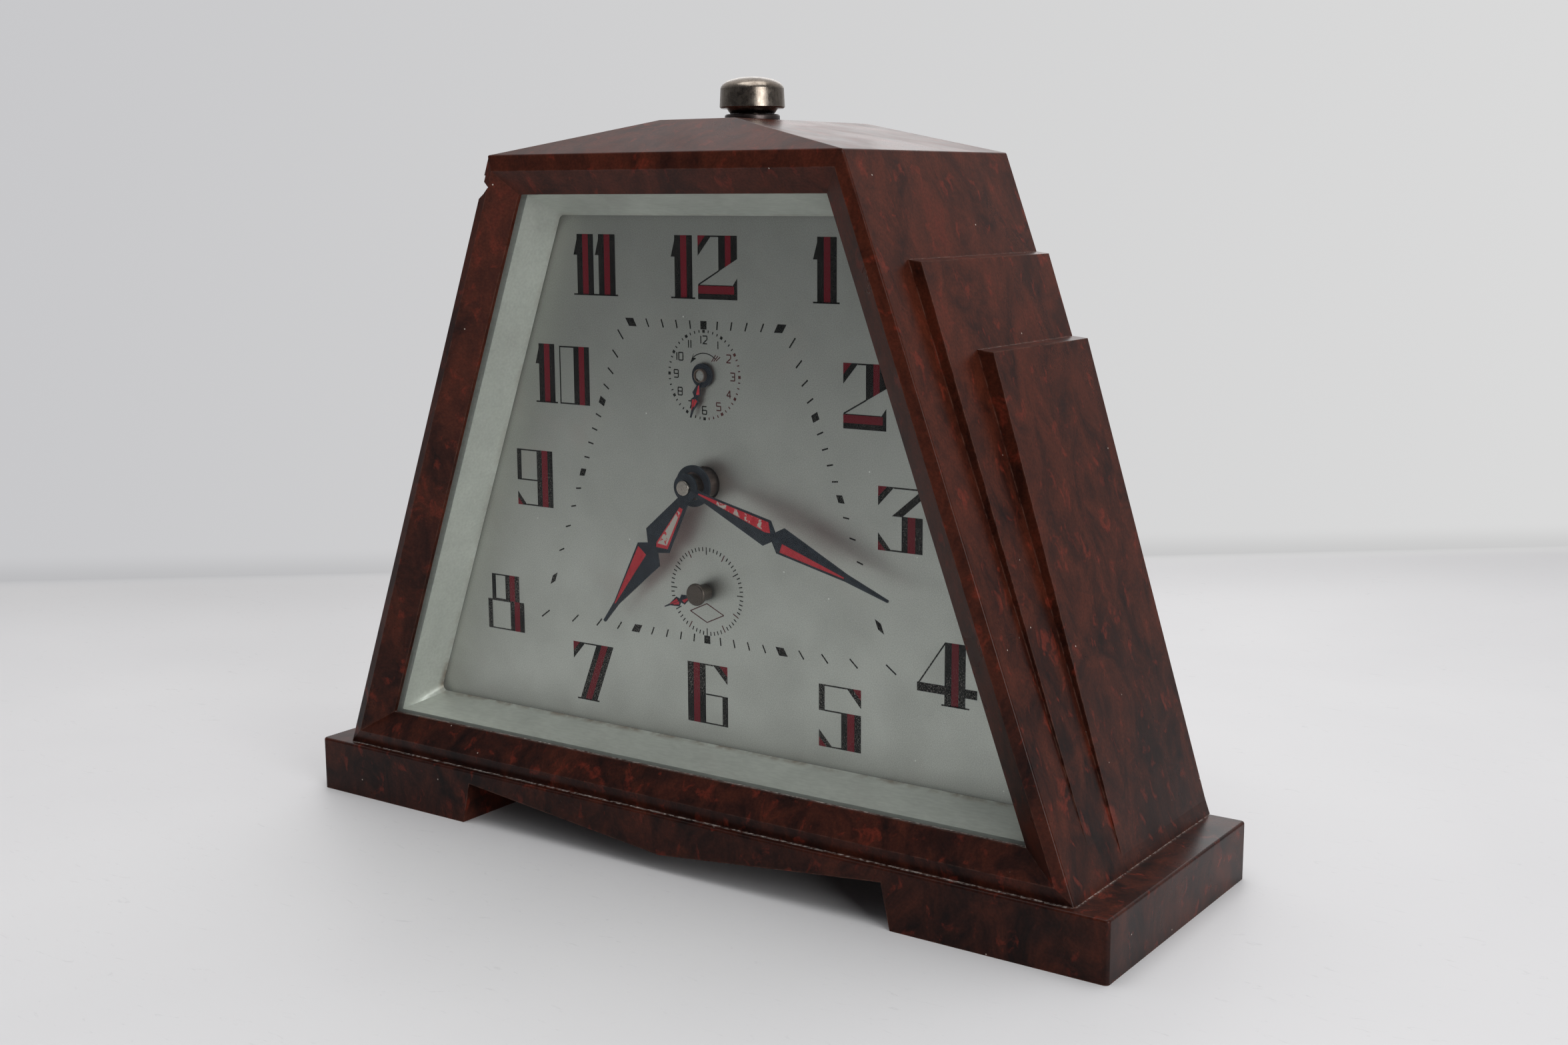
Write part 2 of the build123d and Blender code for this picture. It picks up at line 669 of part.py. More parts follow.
def key_shape(place, bore):
    """Butterfly key with a boss."""
    rod(place, COVER + 2.2, 36.0, 3.0)
    with BuildSketch(Plane((place[0], MIDDLE_Y + 33.5, place[1]))) as wings:
        with Locations((-5.6, 3.4), (5.6, 3.4)):
            Ellipse(5.2, 5.8)
        Rectangle(9.0, 6.0)
    extrude(wings.sketch, amount=1.0, both=True)
    rod(place, COVER, 31.0, bore, mode=Mode.SUBTRACT)


RATCHET_TEETH = 22


def ratchet_points(radius):
    """Corners of a saw-toothed ratchet wheel."""
    corners = []
    for index in range(RATCHET_TEETH):
        start = 2 * pi * index / RATCHET_TEETH
        end = 2 * pi * (index + 0.92) / RATCHET_TEETH
        corners.append(((radius - 0.8) * cos(start), (radius - 0.8) * sin(start)))
        corners.append((radius * cos(end), radius * sin(end)))
    return corners


for name, place, coil_radius, turns, click_side in (
    ("time", TIME_SPRING, 12.0, 8, -1),
    ("alarm", ALARM_SPRING, 10.2, 7, 1),
):
    with BuildPart() as winding_arbor:
        rod(place, FRONT_PLATE + 0.1, -6.0, 1.0)
        rod(place, SHOULDER, 30.5, 1.6)
    save(winding_arbor.part, f"{name}_winding_arbor")

    with BuildPart() as mainspring:
        extrude(outline(4.2, spiral_points(2.1, coil_radius, turns, 0.3), *place), amount=9.0)
    save(mainspring.part, f"{name}_mainspring")

    with BuildPart() as ratchet:
        with BuildSketch(facing(15.2, *place)):
            Polygon(*ratchet_points(5.5), align=None)
            Circle(1.63, mode=Mode.SUBTRACT)
        extrude(amount=1.2)
    save(ratchet.part, f"{name}_ratchet")

    click_pivot = (place[0] + click_side * 7.6, place[1] - 3.0)
    with BuildPart() as click:
        with BuildSketch(facing(15.2, *click_pivot)):
            Circle(1.5)
            Polygon(
                (-click_side * 1.2, 0.6),
                (-click_side * 1.35, 3.4),
                (-click_side * 1.0, 4.2),
                (click_side * 1.2, 0.4),
                align=None,
            )
            Circle(0.76, mode=Mode.SUBTRACT)
        extrude(amount=1.2)
    save(click.part, f"{name}_click")

    with BuildPart() as key:
        key_shape(place, 1.63)
    save(key.part, f"{name}_key")

with BuildPart() as click_studs:
    for place, click_side in ((TIME_SPRING, -1), (ALARM_SPRING, 1)):
        click_pivot = (place[0] + click_side * 7.6, place[1] - 3.0)
        rod(click_pivot, BACK_PLATE + PLATE + 0.02, 15.6, 0.7)
        rod(click_pivot, 15.5, 16.1, 1.4)
save(click_studs.part, "click_studs")

for name, place, radius in (("time_set_knob", CENTRE, 5.5), ("alarm_set_knob", ALARM, 5.0)):
    with BuildPart() as knob:
        with BuildSketch(facing(34.0, *place)):
            Polygon(*tooth_points(36, 2 * radius / 36, 0.0), align=None)
        extrude(amount=5.0)
        rod(place, COVER + 2.2, 30.0, 2.2)
        rod(place, COVER, 31.0, 1.12, mode=Mode.SUBTRACT)
    save(knob.part, name)

# ---------------------------------------------------------------- alarm train

alarm_great_phase = direction(ALARM_SPRING, ALARM_ESCAPE)
with BuildPart() as alarm_great_wheel:
    gear(ALARM_SPRING, -6.5, -5.3, 48, 0.5, alarm_great_phase, hole=1.6 + RUNNING, windows=5)
save(alarm_great_wheel.part, "alarm_great_wheel")

alarm_pinion_phase = meshing_phase(ALARM_SPRING, 48, alarm_great_phase, ALARM_ESCAPE, 8)
with BuildPart() as alarm_escape_wheel:
    pivoted_arbor(ALARM_ESCAPE, 0.8)
    gear(ALARM_ESCAPE, SHOULDER, -4.9, 8, 0.5, alarm_pinion_phase)
    gear(ALARM_ESCAPE, 5.0, 5.8, 18, 0.6, 0.0, windows=4)
save(alarm_escape_wheel.part, "alarm_escape_wheel")

HAMMER_HEAD = (17.2, 105.0)
with BuildPart() as alarm_hammer:
    rod(HAMMER, SHOULDER, 17.0, 0.8)
    rod(HAMMER, FRONT_PLATE + 0.1, 0, 0.4)
    rod(HAMMER, 5.0, 5.8, 1.9)
    arm_angle = direction(HAMMER, HAMMER_HEAD)
    with BuildSketch(Plane(facing(16.6, *HAMMER).location * Location((0, 0, 0), (0, 0, arm_angle)))):
        Circle(1.8)
        Polygon((0, -0.6), (11.5, -0.6), (11.5, 0.6), (0, 0.6), align=None)
    extrude(amount=1.0)
    rod(HAMMER_HEAD, 15.0, 18.0, 2.2)
save(alarm_hammer.part, "alarm_hammer")

with BuildPart() as bell:
    rod(BELL, BACK_PLATE + PLATE + 0.02, 20.0, 1.5)
    rod(BELL, 14.2, 21.0, 8.0)
    rod(BELL, 14.0, 20.2, 7.2, mode=Mode.SUBTRACT)
    rod(BELL, BACK_PLATE + PLATE + 0.02, 22.0, 1.5)
save(bell.part, "bell")

with BuildPart() as stop_lever:
    pivoted_arbor(STOP_LEVER, 0.9)
    rod(STOP_LEVER, FRONT_PLATE + 0.1, BACK_PLATE + PLATE - 0.1, 0.5)
    with BuildSketch(facing(3.5, *STOP_LEVER)):
        Circle(2.0)
        Polygon((0, 1.8), (-12.0, 10.6), (-16.0, 10.6), (-16.0, 9.0), (-12.5, 8.4), (-1.0, -1.7), align=None)
        Polygon((1.4, 0), (0.6, -6.0), (-0.6, -6.0), (-1.4, 0), align=None)
    extrude(amount=2.0)
save(stop_lever.part, "stop_lever")

# ---------------------------------------------------------------- stop knob on the roof

KNOB_AXIS = (0, MIDDLE_Y + KNOB_Y)
LEVER_TOP = STOP_LEVER[1] + 10.6
STEM_BOTTOM = LEVER_TOP + 0.3
COLLAR_TOP = ROOF_TOP + 1.2
CAP_BOTTOM = ROOF_TOP + 2.3

with BuildPart() as knob_collar:
    with BuildSketch(Plane((*KNOB_AXIS, ROOF_TOP + 0.01))):
        Circle(5.1)
    extrude(amount=COLLAR_TOP - ROOF_TOP)
    fillet(knob_collar.faces().sort_by(Axis.Z)[-1].edges(), 0.35)
    with BuildSketch(Plane((*KNOB_AXIS, STEM_BOTTOM + 2.1 + KNOB_LIFT))):
        Circle(4.0)
    extrude(amount=ROOF_TOP + 0.5 - (STEM_BOTTOM + 2.1 + KNOB_LIFT))
    with BuildSketch(Plane((*KNOB_AXIS, STEM_BOTTOM))):
        Circle(STEM_RADIUS + RUNNING)
    extrude(amount=40, mode=Mode.SUBTRACT)
save(knob_collar.part, "knob_collar")

with BuildPart() as stop_knob:
    # Cap with a slightly flared rim and a domed top
    with BuildSketch(facing(KNOB_Y, 0, CAP_BOTTOM)):
        with BuildLine():
            Polyline(*CAP_RIM)
            Spline(*CAP_DOME)
            Line(CAP_DOME[-1], CAP_RIM[0])
        make_face()
    revolve(axis=Axis((*KNOB_AXIS, 0), (0, 0, 1)))
    with BuildSketch(Plane((*KNOB_AXIS, COLLAR_TOP + 0.15))):
        Circle(4.1)
    with BuildSketch(Plane((*KNOB_AXIS, CAP_BOTTOM + 0.1))):
        Circle(4.85)
    loft()
    with BuildSketch(Plane((*KNOB_AXIS, STEM_BOTTOM))):
        Circle(STEM_RADIUS)
    extrude(amount=CAP_BOTTOM - STEM_BOTTOM)
save(stop_knob.part, "stop_knob")

with BuildPart() as stem_clip:
    with BuildSketch(Plane((*KNOB_AXIS, STEM_BOTTOM + 1.0))):
        Circle(3.8)
        Circle(STEM_RADIUS + 0.02, mode=Mode.SUBTRACT)
    extrude(amount=0.8)
save(stem_clip.part, "stem_clip")

# ---------------------------------------------------------------- back cover

with BuildPart() as back_cover:
    slab(
        COVER,
        COVER + 1.0,
        lambda depth: trapezoid(depth, WALL + 0.3, BASE_HEIGHT + 0.3, CAVITY_TOP - 0.3),
    )
    for place, radius in (
        (TIME_SPRING, 3.3),
        (ALARM_SPRING, 3.3),
        (CENTRE, 2.5),
        (ALARM, 2.5),
    ):
        rod(place, COVER - 1, COVER + 2, radius, mode=Mode.SUBTRACT)
    for place in COVER_SCREWS:
        rod(place, COVER - 1, COVER + 2, 1.6, mode=Mode.SUBTRACT)
    with BuildSketch(facing(COVER + 2, *BALANCE)):
        Circle(7.2)
        Circle(4.8, mode=Mode.SUBTRACT)
        Polygon((0, 0), (-8, -11), (8, -11), align=None, mode=Mode.INTERSECT)
    extrude(amount=4, mode=Mode.SUBTRACT)
    with BuildSketch(facing(COVER + 2, *BELL)):
        Circle(1.3)
        with PolarLocations(5.0, 6):
            Circle(1.3)
    extrude(amount=4, mode=Mode.SUBTRACT)
save(back_cover.part, "back_cover")

with BuildPart() as cover_screws:
    for place in COVER_SCREWS:
        rod(place, COVER + 1.02, COVER + 2.3, 2.6)
        rod(place, 15.5, COVER + 1.5, 1.4)
        with BuildSketch(facing(COVER + 3, *place)):
            Rectangle(0.6, 6.0)
        extrude(amount=1.2, mode=Mode.SUBTRACT)
save(cover_screws.part, "cover_screws")
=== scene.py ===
import math

import bmesh
import bpy
from mathutils import Matrix, Vector


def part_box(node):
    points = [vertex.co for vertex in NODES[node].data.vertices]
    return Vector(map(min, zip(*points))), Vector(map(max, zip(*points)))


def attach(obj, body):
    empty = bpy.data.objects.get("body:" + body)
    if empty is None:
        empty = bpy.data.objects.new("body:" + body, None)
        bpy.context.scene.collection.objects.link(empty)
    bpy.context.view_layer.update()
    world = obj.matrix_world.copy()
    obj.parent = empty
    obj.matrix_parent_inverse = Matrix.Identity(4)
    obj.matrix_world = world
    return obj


# Looks of the wind-up alarm clock: materials, the printed dial, worn paint, stage and camera.
# Positions are in the clock's own frame, +Z up with the dial facing -Y. Dial and hand
# drawings are in millimetres; everything handed to Blender is in metres.

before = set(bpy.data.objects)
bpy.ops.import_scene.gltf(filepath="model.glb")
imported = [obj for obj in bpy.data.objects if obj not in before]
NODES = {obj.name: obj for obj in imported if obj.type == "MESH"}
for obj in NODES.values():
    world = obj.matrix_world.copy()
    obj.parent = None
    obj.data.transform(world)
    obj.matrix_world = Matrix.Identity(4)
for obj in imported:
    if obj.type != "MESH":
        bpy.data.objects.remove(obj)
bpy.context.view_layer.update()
MM = 0.001

# Arbor places on the dial, (x, z) in mm, and the angles of the hands clockwise from twelve
CENTRE = (0.0, 70.5)
ALARM = (0.0, 90.5)
SECONDS = (0.0, 50.1)
MINUTE_ANGLE = 110.2
HOUR_ANGLE = 217.9
SECONDS_ANGLE = 247.4
ALARM_ANGLE = 197.7

DIAL_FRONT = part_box("dial")[0].y


def around(place, angle, out, side=0.0):
    """A point of the dial in mm, out from place at an angle; side is positive clockwise."""
    a = math.radians(angle)
    return (
        place[0] + out * math.sin(a) + side * math.cos(a),
        place[1] + out * math.cos(a) - side * math.sin(a),
    )


# ---------------------------------------------------------------- shader graphs

EVEN = (1.0, 1.0, 1.0)
UNMOVED = (0.0, 0.0, 0.0)


class Graph:
    """One material and short ways to add nodes to it."""

    def __init__(self, name, **values):
        self.material = bpy.data.materials.new(name)
        self.material.use_nodes = True
        self.tree = self.material.node_tree
        self.shader = self.tree.nodes["Principled BSDF"]
        for socket, value in values.items():
            self.set(socket.replace("_", " "), value)

    def set(self, socket, value):
        """Give a socket of the surface shader a value, or link it to another node's output."""
        self.feed(self.shader.inputs[socket], value)

    def feed(self, socket, value):
        if isinstance(value, bpy.types.NodeSocket):
            self.tree.links.new(value, socket)
        elif isinstance(value, tuple) and len(value) == 3 and socket.type == "RGBA":
            socket.default_value = (*value, 1.0)
        else:
            socket.default_value = value

    def node(self, kind, inputs=(), **settings):
        made = self.tree.nodes.new(kind)
        for key, value in settings.items():
            setattr(made, key, value)
        for socket, value in inputs:
            self.feed(made.inputs[socket], value)
        return made

    def place(self, scale=EVEN, shift=UNMOVED):
        """The point on the piece, in millimetres of the clock's frame, stretched and moved."""
        coordinates = self.node("ShaderNodeTexCoord").outputs["Object"]
        mapping = self.node(
            "ShaderNodeMapping",
            [("Vector", coordinates), ("Scale", [s / MM for s in scale]), ("Location", shift)],
        )
        return mapping.outputs["Vector"]

    def noise(self, scale, detail=4.0, roughness=0.55, warp=0.0, stretch=EVEN, shift=UNMOVED):
        """Fractal noise; scale is in features per millimetre."""
        made = self.node(
            "ShaderNodeTexNoise",
            [
                ("Vector", self.place(stretch, shift)),
                ("Scale", scale),
                ("Detail", detail),
                ("Roughness", roughness),
                ("Distortion", warp),
            ],
        )
        return made.outputs["Fac"]

    def math(self, operation, a, b=0.0):
        made = self.node("ShaderNodeMath", [(0, a), (1, b)], operation=operation)
        return made.outputs["Value"]

    def vector(self, operation, a, b=(0.0, 0.0, 0.0)):
        """Vector arithmetic; a dot product and a length are single values."""
        made = self.node("ShaderNodeVectorMath", [(0, a), (1, b)], operation=operation)
        return made.outputs["Value" if operation in ("DOT_PRODUCT", "LENGTH") else "Vector"]

    def fade(self, value, low, high, out_low=0.0, out_high=1.0):
        """Smooth step of a value from low to high, between two outputs."""
        made = self.node(
            "ShaderNodeMapRange",
            [
                ("Value", value),
                ("From Min", low),
                ("From Max", high),
                ("To Min", out_low),
                ("To Max", out_high),
            ],
            interpolation_type="SMOOTHSTEP",
        )
        return made.outputs["Result"]

    def mix(self, share, a, b):
        """Colour a where share is 0 and b where it is 1."""
        made = self.node(
            "ShaderNodeMix", [("Factor", share)], data_type="RGBA", clamp_factor=True
        )
        # A mix node's sockets share their names, so the colour ones go by number
        self.feed(made.inputs[6], a)
        self.feed(made.inputs[7], b)
        return made.outputs[2]

    def ramp(self, value, stops):
        """Colour ramp from (position, colour) stops."""
        made = self.node("ShaderNodeValToRGB", [("Fac", value)])
        elements = made.color_ramp.elements
        while len(elements) < len(stops):
            elements.new(1.0)
        for element, (position, colour) in zip(elements, stops):
            element.position = position
            element.color = (*colour, 1.0)
        return made.outputs["Color"]

    def component(self, name, vector):
        return self.node("ShaderNodeSeparateXYZ", [("Vector", vector)]).outputs[name]

    def axis(self, name):
        """One coordinate of the point, in millimetres of the clock's frame."""
        return self.component(name, self.place())

    def normal(self):
        return self.node("ShaderNodeNewGeometry").outputs["Normal"]

    def facing(self, name):
        """How much the surface faces along an axis, from -1 to 1."""
        return self.component(name, self.normal())

    def edges(self, radius, low=0.01, high=0.12):
        """1 on the outer edges of a piece and 0 on its flats."""
        bevel = self.node("ShaderNodeBevel", [("Radius", radius * MM)], samples=6)
        agree = self.vector("DOT_PRODUCT", bevel.outputs["Normal"], self.normal())
        return self.fade(self.math("SUBTRACT", 1.0, agree), low, high)

    def corners(self, distance, low, high):
        """1 in inner corners and 0 in the open."""
        shade = self.node("ShaderNodeAmbientOcclusion", [("Distance", distance * MM)], samples=8)
        return self.fade(shade.outputs["AO"], high, low, 0.0, 1.0)

    def bump(self, height, depth, strength=1.0, normal=None):
        """Relief of a depth in millimetres."""
        made = self.node(
            "ShaderNodeBump", [("Height", height), ("Distance", depth * MM), ("Strength", strength)]
        )
        if normal is not None:
            self.feed(made.inputs["Normal"], normal)
        return made.outputs["Normal"]

    def dots(self, scale, radius):
        """1 inside small scattered specks and 0 elsewhere; scale is in cells per millimetre."""
        made = self.node("ShaderNodeTexVoronoi", [("Vector", self.place()), ("Scale", scale)])
        near = self.fade(made.outputs["Distance"], radius, radius * 0.5)
        cell_tone = self.node("ShaderNodeSeparateColor", [("Color", made.outputs["Color"])])
        chosen = self.fade(cell_tone.outputs["Red"], 0.80, 0.82)
        return self.math("MULTIPLY", near, chosen)


def wear(node_names, material):
    """Give CAD nodes a material."""
    for name in node_names:
        slots = NODES[name].data.materials
        slots.clear()
        slots.append(material)


# ---------------------------------------------------------------- case

MARBLING = (
    (0.28, (0.008, 0.0030, 0.0025)),
    (0.40, (0.024, 0.0066, 0.0042)),
    (0.52, (0.047, 0.0115, 0.0062)),
    (0.62, (0.062, 0.0142, 0.0074)),
    (0.76, (0.086, 0.0155, 0.0085)),
)
DARK_CLOUD = (0.013, 0.0055, 0.0045)
RED_BLOTCH = (0.140, 0.0210, 0.0110)
PALE_SPECK = (0.42, 0.36, 0.31)
RUBBED_EDGE = (0.150, 0.072, 0.052)
DUST = (0.55, 0.50, 0.46)


def bakelite():
    """Moulded resin marbled in dark brown, brick red and near black, polished and handled."""
    g = Graph("bakelite", IOR=1.23)
    marbling = g.noise(0.10, 9.0, 0.70, 0.7, stretch=(1.2, 1.2, 0.75))
    # Painted shade: the marbling is shifted darker towards the bottom of the case and lighter towards
    # the top.
    marbling_and_height_shade = g.math("ADD", marbling, g.fade(g.axis("Z"), 5.0, 125.0, -0.085, 0.035))
    base = g.ramp(marbling_and_height_shade, MARBLING)
    patches = g.fade(g.noise(0.055, 5.0, 0.6, 0.5, shift=(7.0, 3.0, 11.0)), 0.56, 0.70)
    shaded = g.mix(g.math("MULTIPLY", patches, 0.60), base, DARK_CLOUD)
    spread = g.noise(0.30, 5.0, 0.6, 0.6, stretch=(1.1, 1.1, 0.8), shift=(31.0, 5.0, 2.0))
    blotches = g.fade(spread, 0.56, 0.70)
    flecked = g.mix(g.math("MULTIPLY", blotches, 0.55), shaded, RED_BLOTCH)
    grain = g.fade(g.noise(2.2, 3.0, 0.6), 0.3, 0.7, 0.80, 1.22)
    grained = g.vector("MULTIPLY", flecked, grain)
    specked = g.mix(g.dots(0.32, 0.060), grained, PALE_SPECK)

    rubbed = g.math("MULTIPLY", g.edges(0.42), g.fade(g.noise(0.5, 4.0), 0.36, 0.62))
    worn = g.mix(g.math("MULTIPLY", rubbed, 0.55), specked, RUBBED_EDGE)
    crevice = g.math("MULTIPLY", g.corners(1.1, 0.62, 0.84), g.fade(g.facing("Z"), 0.75, 0.95))
    dusty = g.math("MULTIPLY", crevice, g.fade(g.noise(1.4, 5.0, 0.7), 0.40, 0.66))
    g.set("Base Color", g.mix(g.math("MULTIPLY", dusty, 0.85), worn, DUST))

    smears = g.fade(g.noise(0.045, 5.0, 0.6, 0.8, shift=(2.0, 19.0, 4.0)), 0.34, 0.70, 0.27, 0.36)
    rough = g.math("ADD", smears, g.math("MULTIPLY", g.math("ADD", rubbed, dusty), 0.25))
    g.set("Roughness", rough)
    relief = g.bump(g.noise(0.16, 2.0, 0.4), 0.05, 0.5)
    g.set("Normal", g.bump(g.noise(3.0, 3.0, 0.6), 0.004, 0.6, relief))
    return g.material


# ---------------------------------------------------------------- window, reflector and dial

MIRROR_HEAD_ON = 0.010
MIRROR_GRAZING = 0.9
RUST_STAIN = (0.235, 0.150, 0.090)
WARM_TARNISH = (0.50, 0.45, 0.42)
DIAL_SPECK = (0.82, 0.82, 0.78)
DIAL_EDGE_SHADE = (0.085, 0.085, 0.080)


def clear_glass():
    """Thin window glass: clear, with a mirror skin that grows at low angles."""
    g = Graph("clear_glass")
    tree = g.tree
    tree.nodes.remove(g.shader)
    through = g.node("ShaderNodeBsdfTransparent", [("Color", (0.965, 0.980, 0.972))])
    mirror = g.node("ShaderNodeBsdfGlossy", [("Color", (1.0, 1.0, 1.0))])
    g.feed(mirror.inputs["Roughness"], g.fade(g.noise(0.06, 5.0, 0.65, 0.6), 0.4, 0.75, 0.02, 0.09))
    tilt = g.node("ShaderNodeLayerWeight", [("Blend", 0.5)]).outputs["Facing"]
    grazing = g.math("MULTIPLY", g.math("POWER", tilt, 5.0), MIRROR_GRAZING)
    sheen = g.math("ADD", MIRROR_HEAD_ON, grazing)
    blend = g.node(
        "ShaderNodeMixShader", [(0, sheen), (1, through.outputs[0]), (2, mirror.outputs[0])]
    )
    tree.links.new(blend.outputs[0], tree.nodes["Material Output"].inputs["Surface"])
    return g.material


def reflector_paint():
    """Satin silver-grey paint, grimy along the inner edge at the bottom."""
    g = Graph("reflector_paint", Metallic=0.4)
    cloud = g.noise(0.09, 5.0, 0.6, 0.4)
    paint = g.ramp(cloud, ((0.3, (0.58, 0.592, 0.552)), (0.7, (0.68, 0.690, 0.645))))
    brushed = g.fade(g.noise(0.5, 4.0, 0.6, 0.2, stretch=(1.0, 4.0, 4.0)), 0.3, 0.7, 0.94, 1.06)
    toned = g.vector("MULTIPLY", paint, brushed)
    dial_edge = g.fade(g.axis("Y"), DIAL_FRONT / MM - 1.6, DIAL_FRONT / MM - 0.1)
    low = g.fade(g.axis("Z"), 40.0, 21.0, 0.25, 1.0)
    ragged = g.fade(g.noise(0.22, 5.0, 0.65), 0.38, 0.64)
    stain = g.math("MULTIPLY", g.math("MULTIPLY", dial_edge, low), ragged)
    g.set("Base Color", g.mix(g.math("MULTIPLY", stain, 0.75), toned, RUST_STAIN))
    g.set("Roughness", g.fade(g.noise(0.3, 4.0), 0.3, 0.7, 0.34, 0.50))
    g.set("Normal", g.bump(g.noise(2.5, 3.0, 0.6), 0.006, 0.5))
    return g.material


def dial_silver():
    """Fine-grained silvered metal under old lacquer, with a few marks, darkened towards the top and
    in its inner corners by painted shade.
    """
    g = Graph("dial_silver", Metallic=1.0)
    fine = g.noise(5.0, 3.0, 0.7)
    cloud = g.noise(0.05, 5.0, 0.6, 0.5)
    tone = g.math("ADD", g.math("MULTIPLY", fine, 0.75), g.math("MULTIPLY", cloud, 0.25))
    silver = g.ramp(tone, ((0.36, (0.450, 0.450, 0.420)), (0.64, (0.640, 0.638, 0.602))))
    # Painted shade: the silver is darker towards the top of the dial and lighter towards the bottom.
    height_shaded = g.vector("MULTIPLY", silver, g.fade(g.axis("Z"), 20.0, 125.0, 1.08, 0.72))
    warm = g.fade(g.noise(0.035, 4.0, 0.6, 0.6, shift=(3.0, 8.0, 5.0)), 0.56, 0.72)
    tinted = g.mix(g.math("MULTIPLY", warm, 0.35), height_shaded, WARM_TARNISH)
    flecked = g.mix(g.dots(0.22, 0.045), tinted, DIAL_SPECK)
    # Painted shade: the dial darkens in its inner corners along the reflector.
    edge = g.math("MULTIPLY", g.corners(3.5, 0.55, 0.80), 0.55)
    g.set("Base Color", g.mix(edge, flecked, DIAL_EDGE_SHADE))
    g.set("Roughness", g.fade(g.noise(0.12, 5.0, 0.6), 0.35, 0.7, 0.43, 0.52))
    g.set("Normal", g.bump(g.noise(6.0, 2.0, 0.7), 0.006, 0.55))
    return g.material


def printing_ink(name, colour, worn_colour):
    """Printed ink that has thinned over the dial's grain in fine speckles."""
    g = Graph(name, IOR=1.13)
    speckle = g.fade(g.noise(4.2, 4.0, 0.75, 0.3), 0.53, 0.60)
    low = g.fade(g.axis("Z"), 90.0, 40.0, 0.25, 1.0)
    rubbed = g.fade(g.noise(0.11, 3.0, 0.5, shift=(9.0, 1.0, 4.0)), 0.36, 0.56, 0.2, 1.0)
    thinned = g.math("MULTIPLY", speckle, g.math("MULTIPLY", low, rubbed))
    g.set("Base Color", g.mix(thinned, colour, worn_colour))
    g.set("Roughness", g.fade(g.noise(0.8, 3.0), 0.3, 0.7, 0.42, 0.60))
    return g.material


# ---------------------------------------------------------------- hands

PALE_PRIMER = (0.46, 0.42, 0.38)
BACK_TONE = (0.70, 0.36, 0.42)


def inside(g, corners, softness):
    """1 inside the convex outline through corners, (x, z) in mm, and 0 outside."""
    middle = sum((Vector(corner) for corner in corners), Vector((0.0, 0.0))) / len(corners)
    point = g.place()
    nearest = None
    for start, end in zip(corners, corners[1:] + corners[:1]):
        normal = Vector((start[1] - end[1], end[0] - start[0])).normalized()
        if normal.dot(middle - Vector(start)) < 0:
            normal = -normal
        reach = g.vector("DOT_PRODUCT", point, (normal.x, 0.0, normal.y))
        distance = g.math("SUBTRACT", reach, normal.dot(Vector(start)))
        nearest = distance if nearest is None else g.math("MINIMUM", nearest, distance)
    return g.fade(nearest, -softness, softness)


def hand_enamel(name, place, angle, red_areas, pale_areas=(), bare_from=0.5, hub=None):
    """Blue-black enamel with crimson fields. Areas are outlines of (along, side) in mm.
    The lower bare_from is, the more of the pale areas shows.
    hub is (radius, colour) of a disc in another tone round the hand's arbor."""
    g = Graph(name, IOR=1.28)
    mottle = g.noise(0.9, 5.0, 0.6)
    dark = g.ramp(mottle, ((0.3, (0.010, 0.014, 0.021)), (0.7, (0.024, 0.031, 0.044))))
    red = g.ramp(mottle, ((0.3, (0.400, 0.020, 0.032)), (0.7, (0.560, 0.036, 0.050))))
    colour = dark
    for area in red_areas:
        corners = [around(place, angle, along, side) for along, side in area]
        colour = g.mix(inside(g, corners, 0.04), colour, red)
    ragged = g.fade(g.noise(0.42, 5.0, 0.6, 0.8, shift=(4.0, 0.0, 9.0)), bare_from, bare_from + 0.03)
    for area in pale_areas:
        corners = [around(place, angle, along, side) for along, side in area]
        bare = g.math("MULTIPLY", inside(g, corners, 0.10), ragged)
        colour = g.mix(bare, colour, PALE_PRIMER)
    colour = g.mix(g.fade(g.facing("Y"), 0.6, 0.8), colour, BACK_TONE)
    rough = g.fade(g.noise(1.2, 4.0), 0.3, 0.7, 0.30, 0.48)
    if hub:
        radius, hub_colour = hub
        offset = g.vector("SUBTRACT", g.place(), (place[0], 0.0, place[1]))
        away = g.vector("LENGTH", g.vector("MULTIPLY", offset, (1.0, 0.0, 1.0)))
        on_hub = g.fade(away, radius + 0.05, radius - 0.05)
        colour = g.mix(on_hub, colour, hub_colour)
        g.set("Metallic", on_hub)
    g.set("Base Color", colour)
    g.set("Roughness", rough)
    g.set("Normal", g.bump(g.noise(2.0, 3.0, 0.6), 0.008, 0.5))
    return g.material


# Red fields as (along, side) outlines, one before the waist and one after it, and the
# stretches where the crimson has flaked off to pale primer
MINUTE_RED = (
    ((3.2, -0.12), (18.9, -0.12), (20.0, -0.45), (18.9, -2.05), (3.2, -0.35)),
    ((23.0, 0.25), (36.8, 0.02), (36.8, 0.28), (22.9, 2.0)),
)
MINUTE_PALE = (((7.5, -0.10), (18.2, -0.35), (17.4, -1.75), (7.5, -0.75)),)
HOUR_RED = (
    ((5.2, -0.15), (14.2, -0.15), (15.0, -0.6), (13.6, -2.75), (5.0, -0.9)),
    ((17.9, 0.25), (30.8, 0.02), (30.8, 0.22), (18.0, 2.75)),
)
HOUR_PALE = (((6.0, -0.25), (14.2, -0.45), (13.2, -2.2), (6.0, -0.85)),)
SMALL_RED = (
    ((1.9, -0.04), (3.7, -0.06), (3.5, -0.68), (1.9, -0.2)),
    ((4.7, 0.06), (6.8, 0.02), (6.6, 0.2), (4.9, 0.62)),
    ((4.5, -0.06), (6.2, -0.04), (5.9, -0.3), (4.8, -0.6)),
)


# ---------------------------------------------------------------- metals


